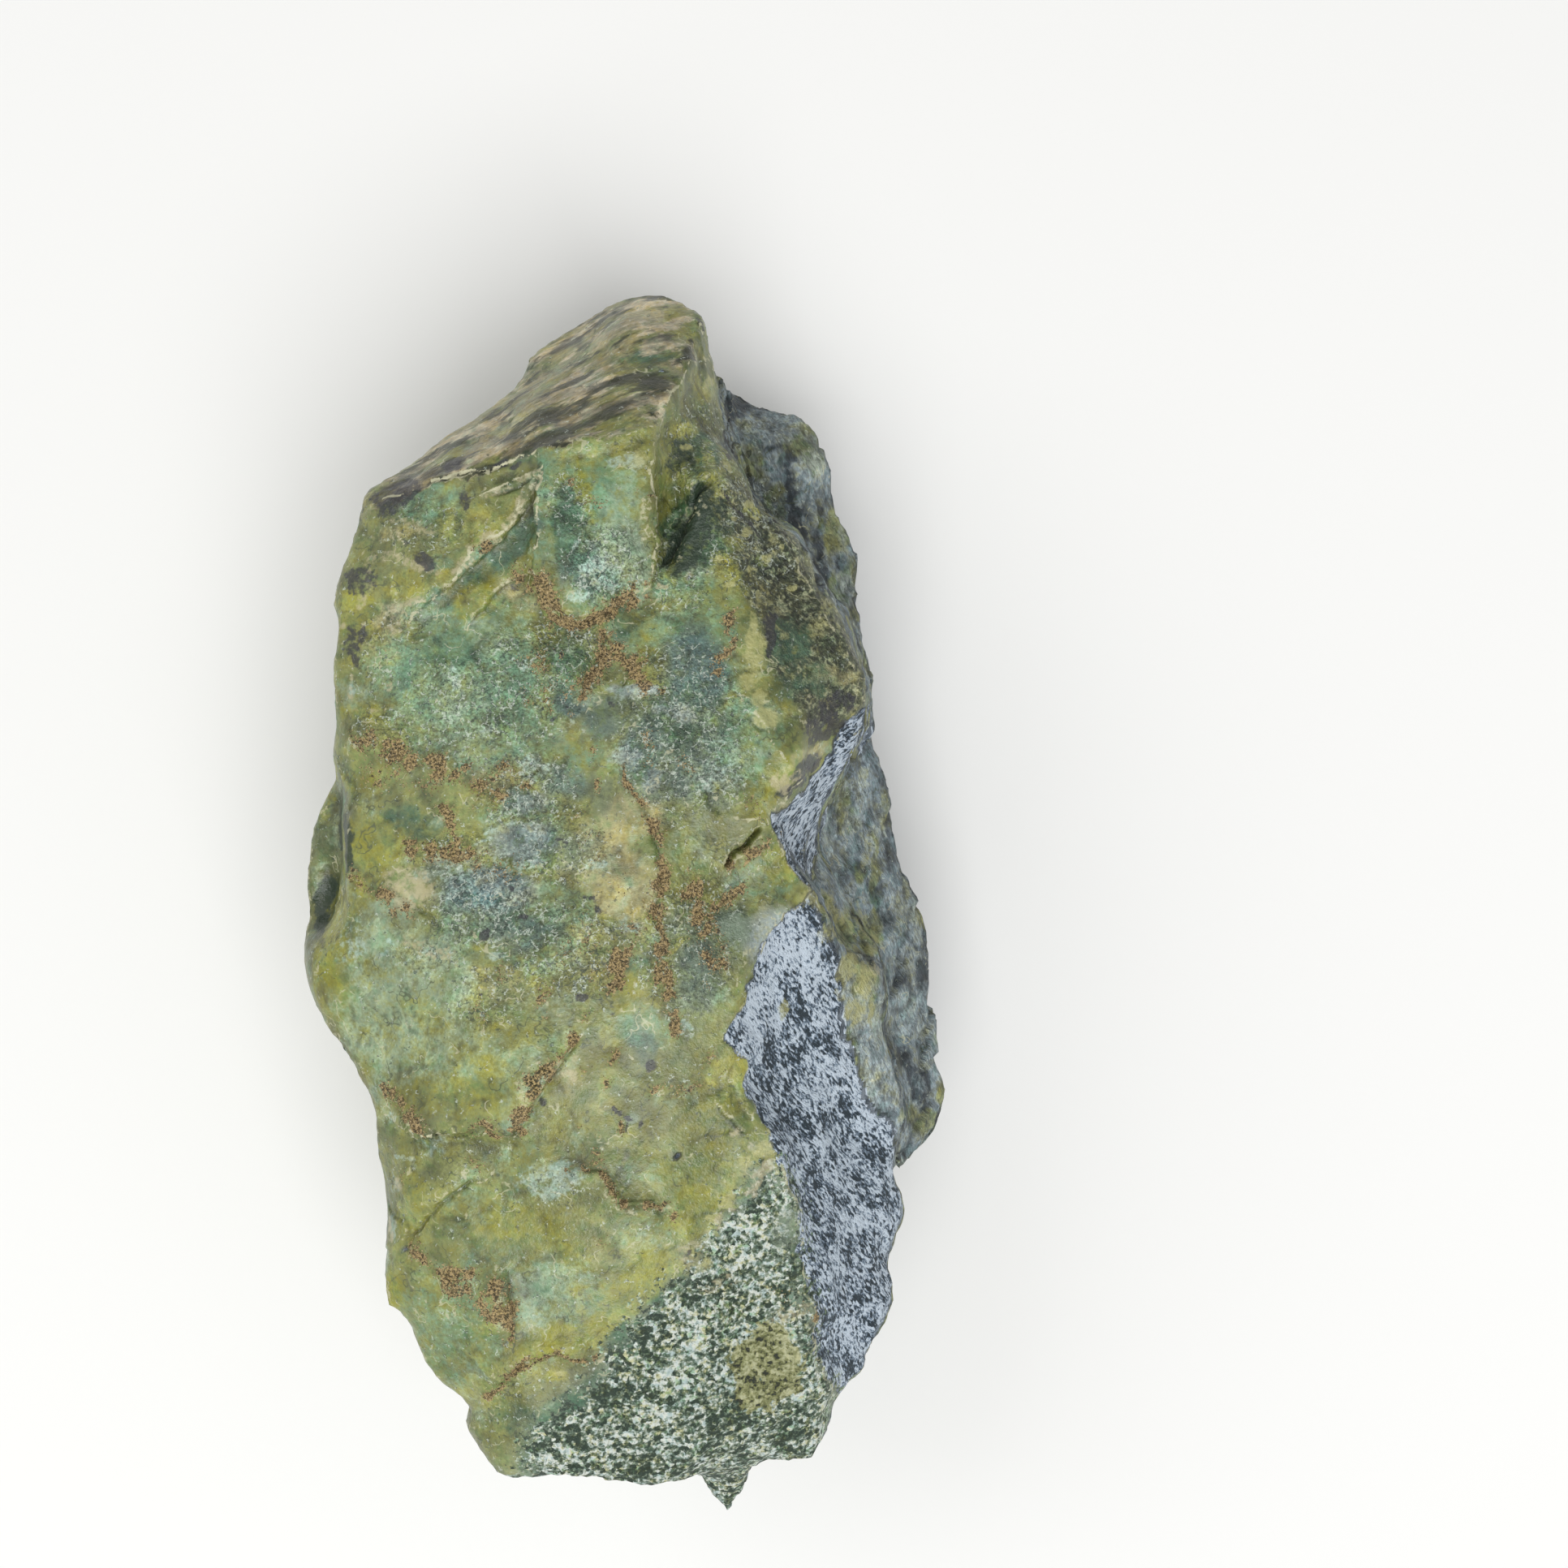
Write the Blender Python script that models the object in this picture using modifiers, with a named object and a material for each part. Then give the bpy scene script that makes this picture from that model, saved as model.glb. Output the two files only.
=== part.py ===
"""Raw serpentine: one hand-sized broken stone, lying on a flat cleavage face with its broad waxy face up.

The stone's landmarks (its outline, ridges, ledges and hollows) are stretched into a closed shell of flat
facets. The shell is fused into an even skin, and the skin is roughened the way serpentine breaks: flake
steps on the broad face, and creased lumps on the flanks, the sides and the underside.
"""

import bmesh
import bpy
import numpy as np
from mathutils import Vector, noise
from mathutils.geometry import delaunay_2d_cdt

# Driving sizes of the finished stone, in metres.
LENGTH = 0.131  # along Y, from the top knob to the lower point
WIDTH = 0.068  # along X, from the left shelf to the right lobe
HEIGHT = 0.052  # along Z, from the underside to the crown of the broad face

NODE_NAME = "serpentine_stone"
TRIANGLES = 8300  # triangles of the finished solid

# How the skin is made. Lengths from here on are in millimetres, up to the last step, which gives the stone
# its driving sizes.
SAME_SPOT = 0.01  # landmarks nearer than this, seen from above, are one point
SKIN_CELL = 0.8  # size of one cell of the fused skin
SOFTENING = 2  # rounds of smoothing that take the sharpness of the shell's folds
SOFTENING_FACTOR = 0.5  # how far each round moves a point towards its neighbours
REST_DEPTH = 0.9  # all that lies lower than this is part of the flat cleavage face underneath
REST_FADE = 3.0  # height over which the roughness grows from the cleavage face
REST_SLACK = 0.05  # unevenness of the cleavage face that thinning leaves, and that is pressed flat

# Roughness of the skin: (height, size of one lump, seed).
LUMPS = [(0.6, 14.0, 3.1), (0.3, 6.0, 7.7)]  # soft lumps, everywhere
GRIT = (0.25, 3.2, 12.3)  # small lumps, everywhere
CALM_GRIT = 0.5  # share of the grit's height that the broad face has
CRAGS = [(1.1, 12.0, 21.0), (0.35, 5.0, 30.0)]  # creased lumps, everywhere but on the broad face
SEED_SHIFT = Vector((1.0, -1.0, 0.5))  # the direction in which a seed moves a pattern

# Where the broad face and the flake steps lie: (start, width of the change). A slope is 1 on level skin and
# 0 on upright skin.
BROAD_SLOPE = (0.55, 0.3)
BROAD_HEIGHT = (33.0, 6.0)
STEP_SLOPE = (0.2, 0.3)
STEP_LOWEST = 30.0  # no flake step lies lower than this
STEP_ENDS = (0.0, 0.2)  # share of a step's length over which it grows, at each end
LIP_EDGE = (-0.45, 0.9)  # the slope between the two sides of a step

# Waxy olive-green, in linear light.
STONE_COLOUR = (0.235, 0.283, 0.127, 1.0)
STONE_ROUGHNESS = 0.5

# Landmarks: X to the right, Y towards the top knob, Z up from the underside.
# The outline seen from above, clockwise from the top knob.
KNOB = [
    (-1.5, 65.0, 23), (2.0, 65.5, 24), (4.5, 65.0, 25), (6.5, 62.5, 27), (8.0, 61.0, 29),
    (8.5, 58.5, 30),
]
SADDLE = [
    (9.5, 56.5, 27), (10.0, 56.0, 22), (11.0, 55.0, 19), (13.0, 53.0, 17),
]
RIGHT_LOBE = [
    (16.0, 53.0, 18), (19.0, 52.0, 18), (21.0, 48.5, 18), (22.5, 44.0, 18), (24.0, 40.0, 18),
    (24.5, 33.5, 18), (26.0, 27.0, 19), (27.0, 25.0, 20), (26.0, 20.0, 20), (26.0, 16.0, 20),
    (27.5, 11.0, 20), (29.5, 1.5, 20), (31.5, -2.0, 19), (33.0, -5.5, 18), (32.5, -9.5, 19),
    (33.5, -18.0, 20), (34.0, -21.0, 20), (32.5, -25.5, 21), (29.0, -29.0, 23),
]
FLANK_RIM = [
    (28.0, -29.0, 31), (29.5, -31.5, 31), (29.5, -34.0, 31), (28.0, -38.0, 32), (28.5, -40.5, 32),
    (26.0, -45.0, 33), (25.0, -46.5, 33), (25.5, -49.0, 33), (23.0, -52.0, 34), (21.0, -55.5, 35),
    (19.0, -58.0, 36), (16.0, -57.5, 36), (14.0, -58.0, 34),
]
LOWER_POINT = [
    (12.5, -61.5, 28), (10.5, -66.0, 25), (8.0, -63.0, 28), (6.0, -61.0, 31),
]
FOOT = [
    (5.5, -59.0, 38), (2.5, -59.0, 41), (-2.5, -58.5, 42), (-7.5, -58.0, 42), (-11.0, -58.0, 42),
    (-14.5, -56.0, 42), (-17.0, -53.0, 41), (-15.0, -51.0, 42),
]
LEFT_LOW = [
    (-18.0, -48.5, 42), (-21.0, -46.0, 42), (-22.5, -42.0, 42), (-25.0, -42.0, 41), (-25.0, -40.0, 41),
    (-24.0, -37.0, 42), (-24.0, -32.0, 42), (-24.5, -27.5, 42), (-25.0, -23.0, 42), (-25.0, -21.5, 42),
    (-27.0, -17.0, 41),
]
LEFT_SHELF = [
    (-27.5, -15.0, 41), (-30.5, -13.0, 39), (-33.0, -10.5, 37), (-34.0, -8.5, 36), (-34.0, -3.0, 35),
    (-34.0, 1.5, 35), (-33.0, 7.0, 35), (-32.5, 9.5, 35), (-30.5, 13.0, 37),
]
LEFT_HIGH = [
    (-29.0, 16.5, 40), (-29.5, 22.0, 41), (-30.0, 24.5, 41), (-29.5, 27.5, 41), (-30.0, 29.5, 40),
    (-29.0, 33.5, 39), (-27.5, 38.0, 38), (-26.5, 42.5, 37),
]
BROW_SIDE = [
    (-23.0, 45.0, 35), (-19.5, 48.5, 33), (-15.0, 50.5, 31), (-12.5, 53.5, 29), (-11.0, 56.5, 27),
    (-9.0, 60.5, 25), (-5.5, 63.0, 24),
]
OUTLINE = (
    KNOB + SADDLE + RIGHT_LOBE + FLANK_RIM + LOWER_POINT + FOOT
    + LEFT_LOW + LEFT_SHELF + LEFT_HIGH + BROW_SIDE
)

# Folds of the upper side: lines that the facets keep as edges.
CREST_RIDGE = [
    (7.5, 61.0, 30), (6.5, 57.0, 35), (5.0, 53.5, 39), (3.5, 50.0, 42.5), (2.5, 48.0, 44),
]
BROW_EDGE = [
    (-25.5, 39.5, 40.5), (-20.0, 42.0, 42), (-14.0, 44.0, 43), (-8.5, 46.0, 44), (-3.0, 47.0, 44.5),
    (2.5, 48.0, 44),
]
FLAKE_TOP = [
    (-7.0, 45.0, 46), (-7.5, 39.0, 47), (-7.5, 33.5, 47), (-6.0, 29.5, 46.5), (-0.5, 32.0, 47),
    (2.0, 32.5, 46.5), (2.5, 40.5, 46.5), (2.0, 45.5, 46),
]
FLAKE_FOOT = [
    (-8.5, 45.0, 44), (-9.5, 39.0, 44), (-9.0, 33.5, 44), (-6.5, 28.0, 43.5), (-0.5, 30.5, 44.5),
    (3.0, 31.5, 45),
]
NOTCH = [
    (5.5, 44.5, 39.5), (5.5, 41.0, 37.5), (5.0, 37.5, 38), (4.0, 33.5, 41.5),
]
NOTCH_BACK = [
    (7.5, 41.5, 42.5), (6.5, 37.0, 43.5), (5.5, 33.0, 45),
]
INNER_RIDGE = [
    (8.0, 43.0, 43), (9.0, 39.0, 43.5), (11.0, 34.0, 44.5), (13.5, 29.0, 45.7), (15.0, 23.5, 46.2),
    (17.5, 19.5, 46), (19.0, 17.5, 45.5),
]
NEAR_RIDGE = [
    (9.0, 55.0, 31), (9.0, 50.0, 34), (10.0, 47.0, 35.5), (11.5, 43.0, 37), (13.5, 39.5, 38),
    (15.5, 38.5, 37.5), (17.5, 37.5, 37), (19.0, 33.0, 37.5), (21.5, 30.0, 38), (23.0, 26.5, 38.5),
    (24.0, 23.0, 39), (24.5, 20.5, 39), (24.0, 17.5, 37), (22.0, 13.5, 36.5), (20.0, 9.0, 37.5),
    (19.0, 4.5, 40.5), (19.0, 1.5, 45.5),
]
CLIFF_FOOT = [
    (9.5, 52.5, 22), (10.5, 49.0, 22), (12.0, 45.0, 22), (14.0, 41.5, 23), (16.0, 40.0, 23),
    (18.5, 39.0, 22), (20.0, 34.5, 21), (22.5, 31.5, 21), (24.0, 28.0, 21), (25.0, 24.0, 21),
    (25.5, 21.0, 22), (25.0, 17.5, 23), (23.0, 13.5, 25), (21.0, 8.5, 27), (19.5, 4.5, 30),
]
FRONT_RIGHT_EDGE = [
    (19.0, 17.5, 45.5), (17.5, 14.0, 47), (15.5, 12.0, 48), (14.0, 9.5, 48.5), (15.5, 6.0, 48.5),
    (16.5, 4.0, 47.5), (19.0, 1.5, 45.5),
]
LOWER_RIGHT_EDGE = [
    (19.0, 1.5, 45.5), (15.5, -0.5, 48), (12.5, -5.5, 49.2), (11.0, -10.5, 49.5), (10.0, -13.5, 49.5),
    (12.0, -15.0, 48.8), (11.5, -17.0, 48.8), (14.0, -21.5, 48), (15.5, -25.5, 47.5), (17.0, -29.0, 47.2),
    (17.5, -35.0, 46), (19.0, -41.0, 44.5), (18.5, -44.5, 44), (21.5, -49.5, 40.5), (20.0, -54.0, 38.5),
]
FLANK_CREST = [
    (19.0, 1.5, 45.5), (22.0, -5.0, 40), (24.0, -5.5, 38), (26.0, -7.5, 36), (26.5, -10.5, 35.5),
    (25.5, -13.0, 35.5), (27.5, -18.5, 34), (28.0, -22.5, 32.5), (28.0, -27.0, 31.5),
]
CREST_FOOT = [
    (22.5, 2.0, 29), (24.5, -3.5, 28), (26.5, -5.0, 27), (28.0, -8.0, 26), (28.5, -12.0, 25.5),
    (28.0, -15.5, 25), (29.5, -19.5, 25), (30.0, -24.0, 24.5),
]
SHELF_EDGE = [
    (-28.0, 16.0, 43), (-27.0, 11.5, 43), (-27.0, 5.0, 43.5), (-27.0, 0.0, 43.5), (-28.0, -4.5, 43.5),
    (-30.0, -6.0, 42.5),
]
SHELF_FOOT = [
    (-29.5, 14.0, 38.5), (-29.5, 9.5, 35), (-29.5, 4.0, 34), (-30.0, -0.5, 35), (-30.5, -3.5, 38),
]
SPECKLE_EDGE = [
    (-11.5, -55.0, 44), (-9.0, -50.5, 45.5), (-5.5, -44.5, 47), (1.0, -39.0, 48.5), (8.5, -32.0, 48.5),
    (13.5, -24.5, 47.5),
]
UPPER_FOLDS = [
    CREST_RIDGE, BROW_EDGE, FLAKE_TOP, FLAKE_FOOT, NOTCH, NOTCH_BACK, INNER_RIDGE, NEAR_RIDGE, CLIFF_FOOT,
    FRONT_RIGHT_EDGE, LOWER_RIGHT_EDGE, FLANK_CREST, CREST_FOOT, SHELF_EDGE, SHELF_FOOT, SPECKLE_EDGE,
]

# Single heights of the upper side, between the folds.
SHELF = [
    (-31.0, 9.5, 37), (-31.0, 4.5, 37), (-32.5, 1.0, 35.5), (-32.0, -2.0, 33.5), (-32.5, -4.5, 38),
    (-32.5, -8.0, 38.5),
]
SPECKLE_FACE = [
    (-5.5, -54.0, 44.5), (1.5, -52.0, 44.5), (9.0, -51.0, 43.5), (15.5, -51.5, 41), (2.5, -44.5, 46.5),
    (9.0, -40.5, 46.5), (14.0, -35.5, 46.5), (14.5, -44.0, 44), (7.5, -56.0, 41.5), (14.0, -55.5, 38.5),
]
FACE_UPPER = [
    (-26.5, 32.5, 42), (-20.5, 35.0, 43.5), (-14.5, 38.5, 44), (-24.5, 26.0, 43.5), (-17.0, 28.5, 44.5),
    (-12.0, 32.5, 44), (-26.0, 19.5, 43.5), (-17.0, 21.0, 46), (-10.5, 23.5, 45.5), (-4.0, 26.0, 44.5),
    (-5.5, 21.0, 46.5), (2.0, 26.0, 46.5), (7.5, 27.5, 46.5), (0.0, 18.0, 48), (6.5, 19.5, 48.5),
    (10.5, 22.5, 47), (13.0, 16.0, 48),
]
FACE_MIDDLE = [
    (-22.0, 14.0, 45), (-13.5, 14.5, 46.5), (-6.0, 14.0, 48), (2.5, 11.5, 49.5), (9.0, 11.5, 49),
    (-22.0, 5.5, 45.5), (-13.5, 6.5, 47.5), (-5.5, 5.0, 49.5), (2.5, 3.5, 50), (10.0, 5.0, 48.5),
    (-24.5, -2.5, 45.5), (-16.5, -2.5, 48), (-8.5, -3.0, 50), (-0.5, -3.5, 51), (6.5, -3.0, 49.5),
    (11.0, 0.0, 47.5),
]
FACE_LOWER = [
    (-28.0, -9.0, 43.5), (-21.5, -9.5, 46.5), (-13.0, -10.0, 50), (-5.0, -10.0, 51.5), (3.0, -11.0, 51),
    (8.5, -9.5, 49.5), (-23.5, -16.5, 45), (-16.5, -16.5, 49), (-10.0, -17.5, 51), (-3.5, -17.5, 51),
    (3.5, -17.5, 50.5), (9.0, -18.5, 49), (-22.0, -22.5, 45.5), (-15.0, -24.0, 48), (-8.5, -24.5, 49.5),
    (-2.0, -24.5, 50.5), (5.0, -24.5, 50), (10.0, -25.0, 48.5),
]
FACE_FOOT = [
    (-22.0, -29.0, 45.5), (-16.0, -30.5, 47.5), (-9.5, -31.0, 49), (-2.0, -32.0, 50), (4.5, -30.0, 50),
    (-22.5, -36.5, 45), (-17.0, -37.0, 47), (-10.0, -37.5, 48), (-3.5, -37.5, 49), (-22.0, -40.0, 43.5),
    (-17.0, -43.0, 45.5), (-11.0, -43.5, 47), (-14.0, -49.0, 45), (-12.0, -53.0, 44),
]
BROW_FACE = [
    (-21.0, 44.0, 37.5), (-15.5, 47.0, 37.5), (-10.5, 50.0, 37), (-6.0, 50.0, 40), (-1.5, 50.5, 41),
    (-6.5, 55.5, 33.5), (-1.5, 56.0, 36), (2.5, 53.5, 39), (-3.5, 60.5, 29.5), (2.0, 60.5, 32),
    (5.5, 60.5, 31),
]
CREST_RIGHT = [
    (6.5, 52.5, 36.5), (7.5, 48.0, 36.5), (5.0, 48.0, 40.5), (7.0, 46.5, 38),
]
GRAIN_FACET = [
    (11.0, 41.0, 41.3), (13.5, 35.0, 42.2), (16.0, 31.0, 41.2), (18.0, 26.0, 42.3), (20.0, 23.0, 42.3),
    (21.5, 19.0, 41.5),
]
SMALL_FLANK = [
    (21.5, 17.5, 40), (19.5, 14.0, 41), (17.5, 9.5, 42), (16.5, 6.5, 43), (18.0, 4.0, 43),
]
MAIN_FLANK = [
    (16.0, -5.0, 45), (20.0, -6.0, 41.5), (14.5, -10.5, 44.5), (20.5, -12.0, 39.5), (15.5, -16.5, 43),
    (21.5, -18.0, 37.5), (18.0, -23.0, 41.5), (23.0, -24.0, 35.5), (19.5, -29.0, 41), (24.0, -29.5, 36.5),
    (21.5, -36.0, 39.5), (25.5, -36.5, 35), (22.0, -43.0, 38), (23.0, -48.0, 36),
]
LOBE = [
    (13.5, 50.0, 22), (17.0, 48.5, 21.5), (19.0, 44.0, 21.5), (21.0, 38.0, 20.5), (23.0, 34.5, 20),
    (26.5, 13.0, 22), (25.0, 8.5, 24), (24.0, 4.5, 26), (27.5, 1.5, 23), (27.5, -2.0, 24),
    (30.5, -7.0, 22.5), (30.5, -12.5, 22.5), (31.5, -17.5, 22.5), (31.5, -22.0, 22.5), (30.0, -26.5, 23),
]
UPPER_HEIGHTS = (
    SHELF + SPECKLE_FACE + FACE_UPPER + FACE_MIDDLE + FACE_LOWER + FACE_FOOT + BROW_FACE + CREST_RIGHT
    + GRAIN_FACET + SMALL_FLANK + MAIN_FLANK + LOBE
)

# The underside: the rim of the flat cleavage face, and the lumps between it and the outline.
REST_FACE = [
    (-6, 43, 0), (1, 36, 0), (9, 35, 0), (13, 24, 0), (18, 17, 0), (17, 5, 0), (22, -5, 0), (23, -19, 0),
    (18, -25, 0), (18, -35, 0), (10, -44, 0), (4, -43, 0), (-5, -48, 0), (-17, -41, 0), (-17, -31, 0),
    (-22, -24, 0), (-25, -10, 0), (-21, 0, 0), (-23, 14, 0), (-17, 24, 0), (-17, 34, 0),
]
BELT = [
    (-26, 33, 20), (-27, 24, 26), (-28.5, 12, 18), (-31.5, 2, 21), (-29, -11, 19), (-23, -22, 26),
    (-23.5, -32, 18), (-20.5, -43, 24), (-13, -53, 19), (-3, -55.5, 23), (5, -56, 16), (10.5, -61, 15),
    (14, -53, 17), (22, -48, 18), (25, -37, 15), (28, -26, 10), (31, -15, 9), (29.5, -5, 10), (25.5, 8, 8),
    (24, 22, 10), (21, 36, 8), (16, 47, 9), (9, 51, 11), (2, 58, 13), (-7, 54, 12), (-16, 45, 17),
]

# Flake steps of the broad face: (height of the step, how far its lip reaches back, its edge seen from above).
# The lip is on the left of the edge, going along it.
FLAKE_STEPS = [
    (1.1, 7.0, [(-22.0, 27.5), (-17.5, 32.0), (-14.0, 34.5), (-10.0, 38.5), (-8.0, 42.0)]),
    (0.9, 4.0, [(-15.5, 27.5), (-13.5, 30.5), (-11.0, 32.5), (-8.0, 34.0)]),
    (1.4, 9.0, [
        (-24.5, -20.5), (-20.0, -23.0), (-13.5, -22.5), (-10.0, -22.0), (-7.0, -17.5), (-3.5, -12.0),
    ]),
    (1.0, 6.0, [(-21.5, -33.0), (-19.5, -30.5), (-16.0, -27.5), (-13.5, -26.0)]),
    (1.4, 5.0, [(-11.5, -43.5), (-11.0, -38.5), (-12.0, -35.0)]),
    (1.2, 5.0, [(-14.5, -49.0), (-10.5, -45.0), (-6.5, -44.0), (-3.0, -45.0)]),
    (1.0, 6.0, [(4.5, -29.0), (0.5, -29.0), (-1.5, -26.5), (-7.0, -25.0), (-10.0, -22.5)]),
    (1.3, 6.0, [(-4.5, 20.5), (-2.0, 26.5), (0.5, 28.5)]),
    (0.9, 5.0, [(3.0, 8.0), (3.5, 2.0), (2.5, -5.0), (-0.5, -10.0)]),
]


def clear_scene():
    """Takes away every object, so that the stone is alone."""
    for item in list(bpy.data.objects):
        bpy.data.objects.remove(item)


def collection_named(name):
    """A new collection, linked to the scene."""
    made = bpy.data.collections.new(name)
    bpy.context.scene.collection.children.link(made)
    return made


def add_sheet(shell, rim, folds, heights, facing_up):
    """Stretches flat facets inside the rim, through the folds and the single heights.

    folds holds pairs: the points of a fold, and whether it closes on itself. Where two sheets have the same
    facet at the rim, there is no thickness between them, and the facet is taken away.
    """
    inside_only = 1
    spots = [vert.co.copy() for vert in rim]
    edges = []
    for fold, closed in folds:
        first = len(spots)
        spots += [Vector(point) for point in fold]
        last = len(spots) - 1
        edges += [(index, index + 1) for index in range(first, last)]
        if closed:
            edges.append((last, first))
    spots += [Vector(point) for point in heights]
    rim_face = list(range(len(rim)))
    flat = [spot.to_2d() for spot in spots]
    placed, _, facets, origins, _, _ = delaunay_2d_cdt(flat, edges, [rim_face], inside_only, SAME_SPOT)
    verts = []
    for spot, origin in zip(placed, origins):
        on_rim = [index for index in origin if index < len(rim)]
        if on_rim:
            verts.append(rim[on_rim[0]])
            continue
        height = spots[origin[0]].z if origin else 0.0
        verts.append(shell.verts.new((spot.x, spot.y, height)))
    for facet in facets:
        corners = [verts[index] for index in facet]
        twin = shell.faces.get(corners)
        if twin:
            shell.faces.remove(twin)
        else:
            shell.faces.new(corners if facing_up else corners[::-1])


def shell_of_facets():
    """The closed shell of flat facets, as a mesh in millimetres."""
    shell = bmesh.new()
    rim = [shell.verts.new(point) for point in reversed(OUTLINE)]
    add_sheet(shell, rim, [(fold, False) for fold in UPPER_FOLDS], UPPER_HEIGHTS, True)
    add_sheet(shell, rim, [(REST_FACE, True)], BELT, False)
    bare = [vert for vert in shell.verts if not vert.link_faces]
    bmesh.ops.delete(shell, geom=bare, context="VERTS")
    bmesh.ops.recalc_face_normals(shell, faces=shell.faces)
    mesh = bpy.data.meshes.new("stone_shell")
    shell.to_mesh(mesh)
    shell.free()
    return mesh


def evaluated_mesh(item):
    """The mesh of the object with its modifiers worked out."""
    graph = bpy.context.evaluated_depsgraph_get()
    return bpy.data.meshes.new_from_object(item.evaluated_get(graph), depsgraph=graph)


def fused_skin(shell, helpers):
    """The shell turned into an even skin of small cells, with its folds softened."""
    item = bpy.data.objects.new("stone_shell", shell)
    helpers.objects.link(item)
    item.display_type = "WIRE"
    item.hide_render = True
    remesh = item.modifiers.new("fuse", "REMESH")
    remesh.mode = "VOXEL"
    remesh.voxel_size = SKIN_CELL
    smooth = item.modifiers.new("soften", "SMOOTH")
    smooth.factor = SOFTENING_FACTOR
    smooth.iterations = SOFTENING
    skin = evaluated_mesh(item)
    item.modifiers.clear()
    return skin


def ramp(value, start, width):
    """A soft change from 0 to 1, from start and over that width."""
    value = np.clip((value - start) / width, 0.0, 1.0)
    return value * value * (3.0 - 2.0 * value)


def step_lift(spots, lift, reach, edge):
    """Height of a flake lip: full just left of its edge, fading away from it and towards its ends."""
    nearest = np.full(len(spots), np.inf)
    side = np.zeros(len(spots))
    along = np.zeros(len(spots))
    for index, (start, end) in enumerate(zip(edge, edge[1:])):
        start = np.array(start)
        run = np.array(end) - start
        share = np.clip((spots - start) @ run / (run @ run), 0.0, 1.0)
        away = spots - start - share[:, None] * run
        gap = np.hypot(away[:, 0], away[:, 1])
        closer = gap < nearest
        nearest[closer] = gap[closer]
        side[closer] = np.sign(run[0] * away[:, 1] - run[1] * away[:, 0])[closer]
        along[closer] = (index + share[closer]) / (len(edge) - 1)
    ends = ramp(along, *STEP_ENDS) * ramp(1.0 - along, *STEP_ENDS)
    return lift * ends * ramp(side * nearest, *LIP_EDGE) * np.exp(-nearest / reach)


def roughness(spot, wave, seed):
    """Soft lumps of about one wave across, from -1 to 1."""
    return noise.noise(spot / wave + seed * SEED_SHIFT)


def crags(spot, wave, seed):
    """Creased lumps of about one wave across, from about -0.5 to 0.5."""
    return 0.5 - abs(roughness(spot, wave, seed)) * 2.0


def roughened(skin):
    """Moves the skin out and in: lumps and grit all over, steps on the broad face, crags elsewhere."""
    spots = np.empty(len(skin.vertices) * 3)
    skin.vertices.foreach_get("co", spots)
    spots = spots.reshape(-1, 3)
    outward = np.array([vert.normal for vert in skin.vertices])
    broad = ramp(outward[:, 2], *BROAD_SLOPE) * ramp(spots[:, 2], *BROAD_HEIGHT)
    outward[:, 2] *= ramp(spots[:, 2], REST_DEPTH, REST_FADE)
    push = np.zeros(len(spots))
    for index, spot in enumerate(map(Vector, spots)):
        calm = broad[index]
        lumps = sum(height * roughness(spot, size, seed) for height, size, seed in LUMPS)
        grit = GRIT[0] * roughness(spot, *GRIT[1:])
        rough = sum(height * crags(spot, size, seed) for height, size, seed in CRAGS)
        push[index] = lumps + calm * CALM_GRIT * grit + (1.0 - calm) * (grit + rough)
    spots += outward * push[:, None]
    upward = ramp(outward[:, 2], *STEP_SLOPE) * (spots[:, 2] > STEP_LOWEST)
    for lift, reach, edge in FLAKE_STEPS:
        spots[:, 2] += upward * step_lift(spots[:, :2], lift, reach, edge)
    spots[spots[:, 2] < REST_DEPTH, 2] = 0.0
    skin.vertices.foreach_set("co", spots.ravel())
    skin.update()


def thinned(skin, helpers):
    """The skin with far fewer triangles, kept where the shape turns."""
    item = bpy.data.objects.new("stone_skin", skin)
    helpers.objects.link(item)
    item.display_type = "WIRE"
    item.hide_render = True
    cells = sum(len(face.vertices) - 2 for face in skin.polygons)
    thin = item.modifiers.new("thin", "DECIMATE")
    thin.ratio = TRIANGLES / cells
    thin.use_collapse_triangulate = True
    mesh = evaluated_mesh(item)
    item.modifiers.clear()
    return mesh


def fitted(mesh):
    """Puts the middle of the underside at the origin and gives the stone its driving sizes."""
    spots = np.empty(len(mesh.vertices) * 3)
    mesh.vertices.foreach_get("co", spots)
    spots = spots.reshape(-1, 3)
    spots[spots[:, 2] < REST_SLACK, 2] = 0.0
    low = spots.min(axis=0)
    span = spots.max(axis=0) - low
    middle_of_underside = np.array((0.5, 0.5, 0.0))
    share = (spots - low) / span - middle_of_underside
    spots = share * np.array((WIDTH, LENGTH, HEIGHT))
    mesh.vertices.foreach_set("co", spots.ravel())
    mesh.update()


def serpentine_material():
    """Waxy olive-green stone."""
    made = bpy.data.materials.new("serpentine")
    made.use_nodes = True
    surface = made.node_tree.nodes["Principled BSDF"]
    surface.inputs["Base Color"].default_value = STONE_COLOUR
    surface.inputs["Roughness"].default_value = STONE_ROUGHNESS
    made.diffuse_color = STONE_COLOUR
    return made


def build():
    """Makes the stone."""
    clear_scene()
    stone = collection_named("raw_serpentine")
    helpers = collection_named("helpers")
    helpers.hide_render = True
    skin = fused_skin(shell_of_facets(), helpers)
    roughened(skin)
    mesh = thinned(skin, helpers)
    fitted(mesh)
    mesh.name = NODE_NAME
    mesh.materials.clear()
    mesh.materials.append(serpentine_material())
    stone.objects.link(bpy.data.objects.new(NODE_NAME, mesh))


build()
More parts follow.
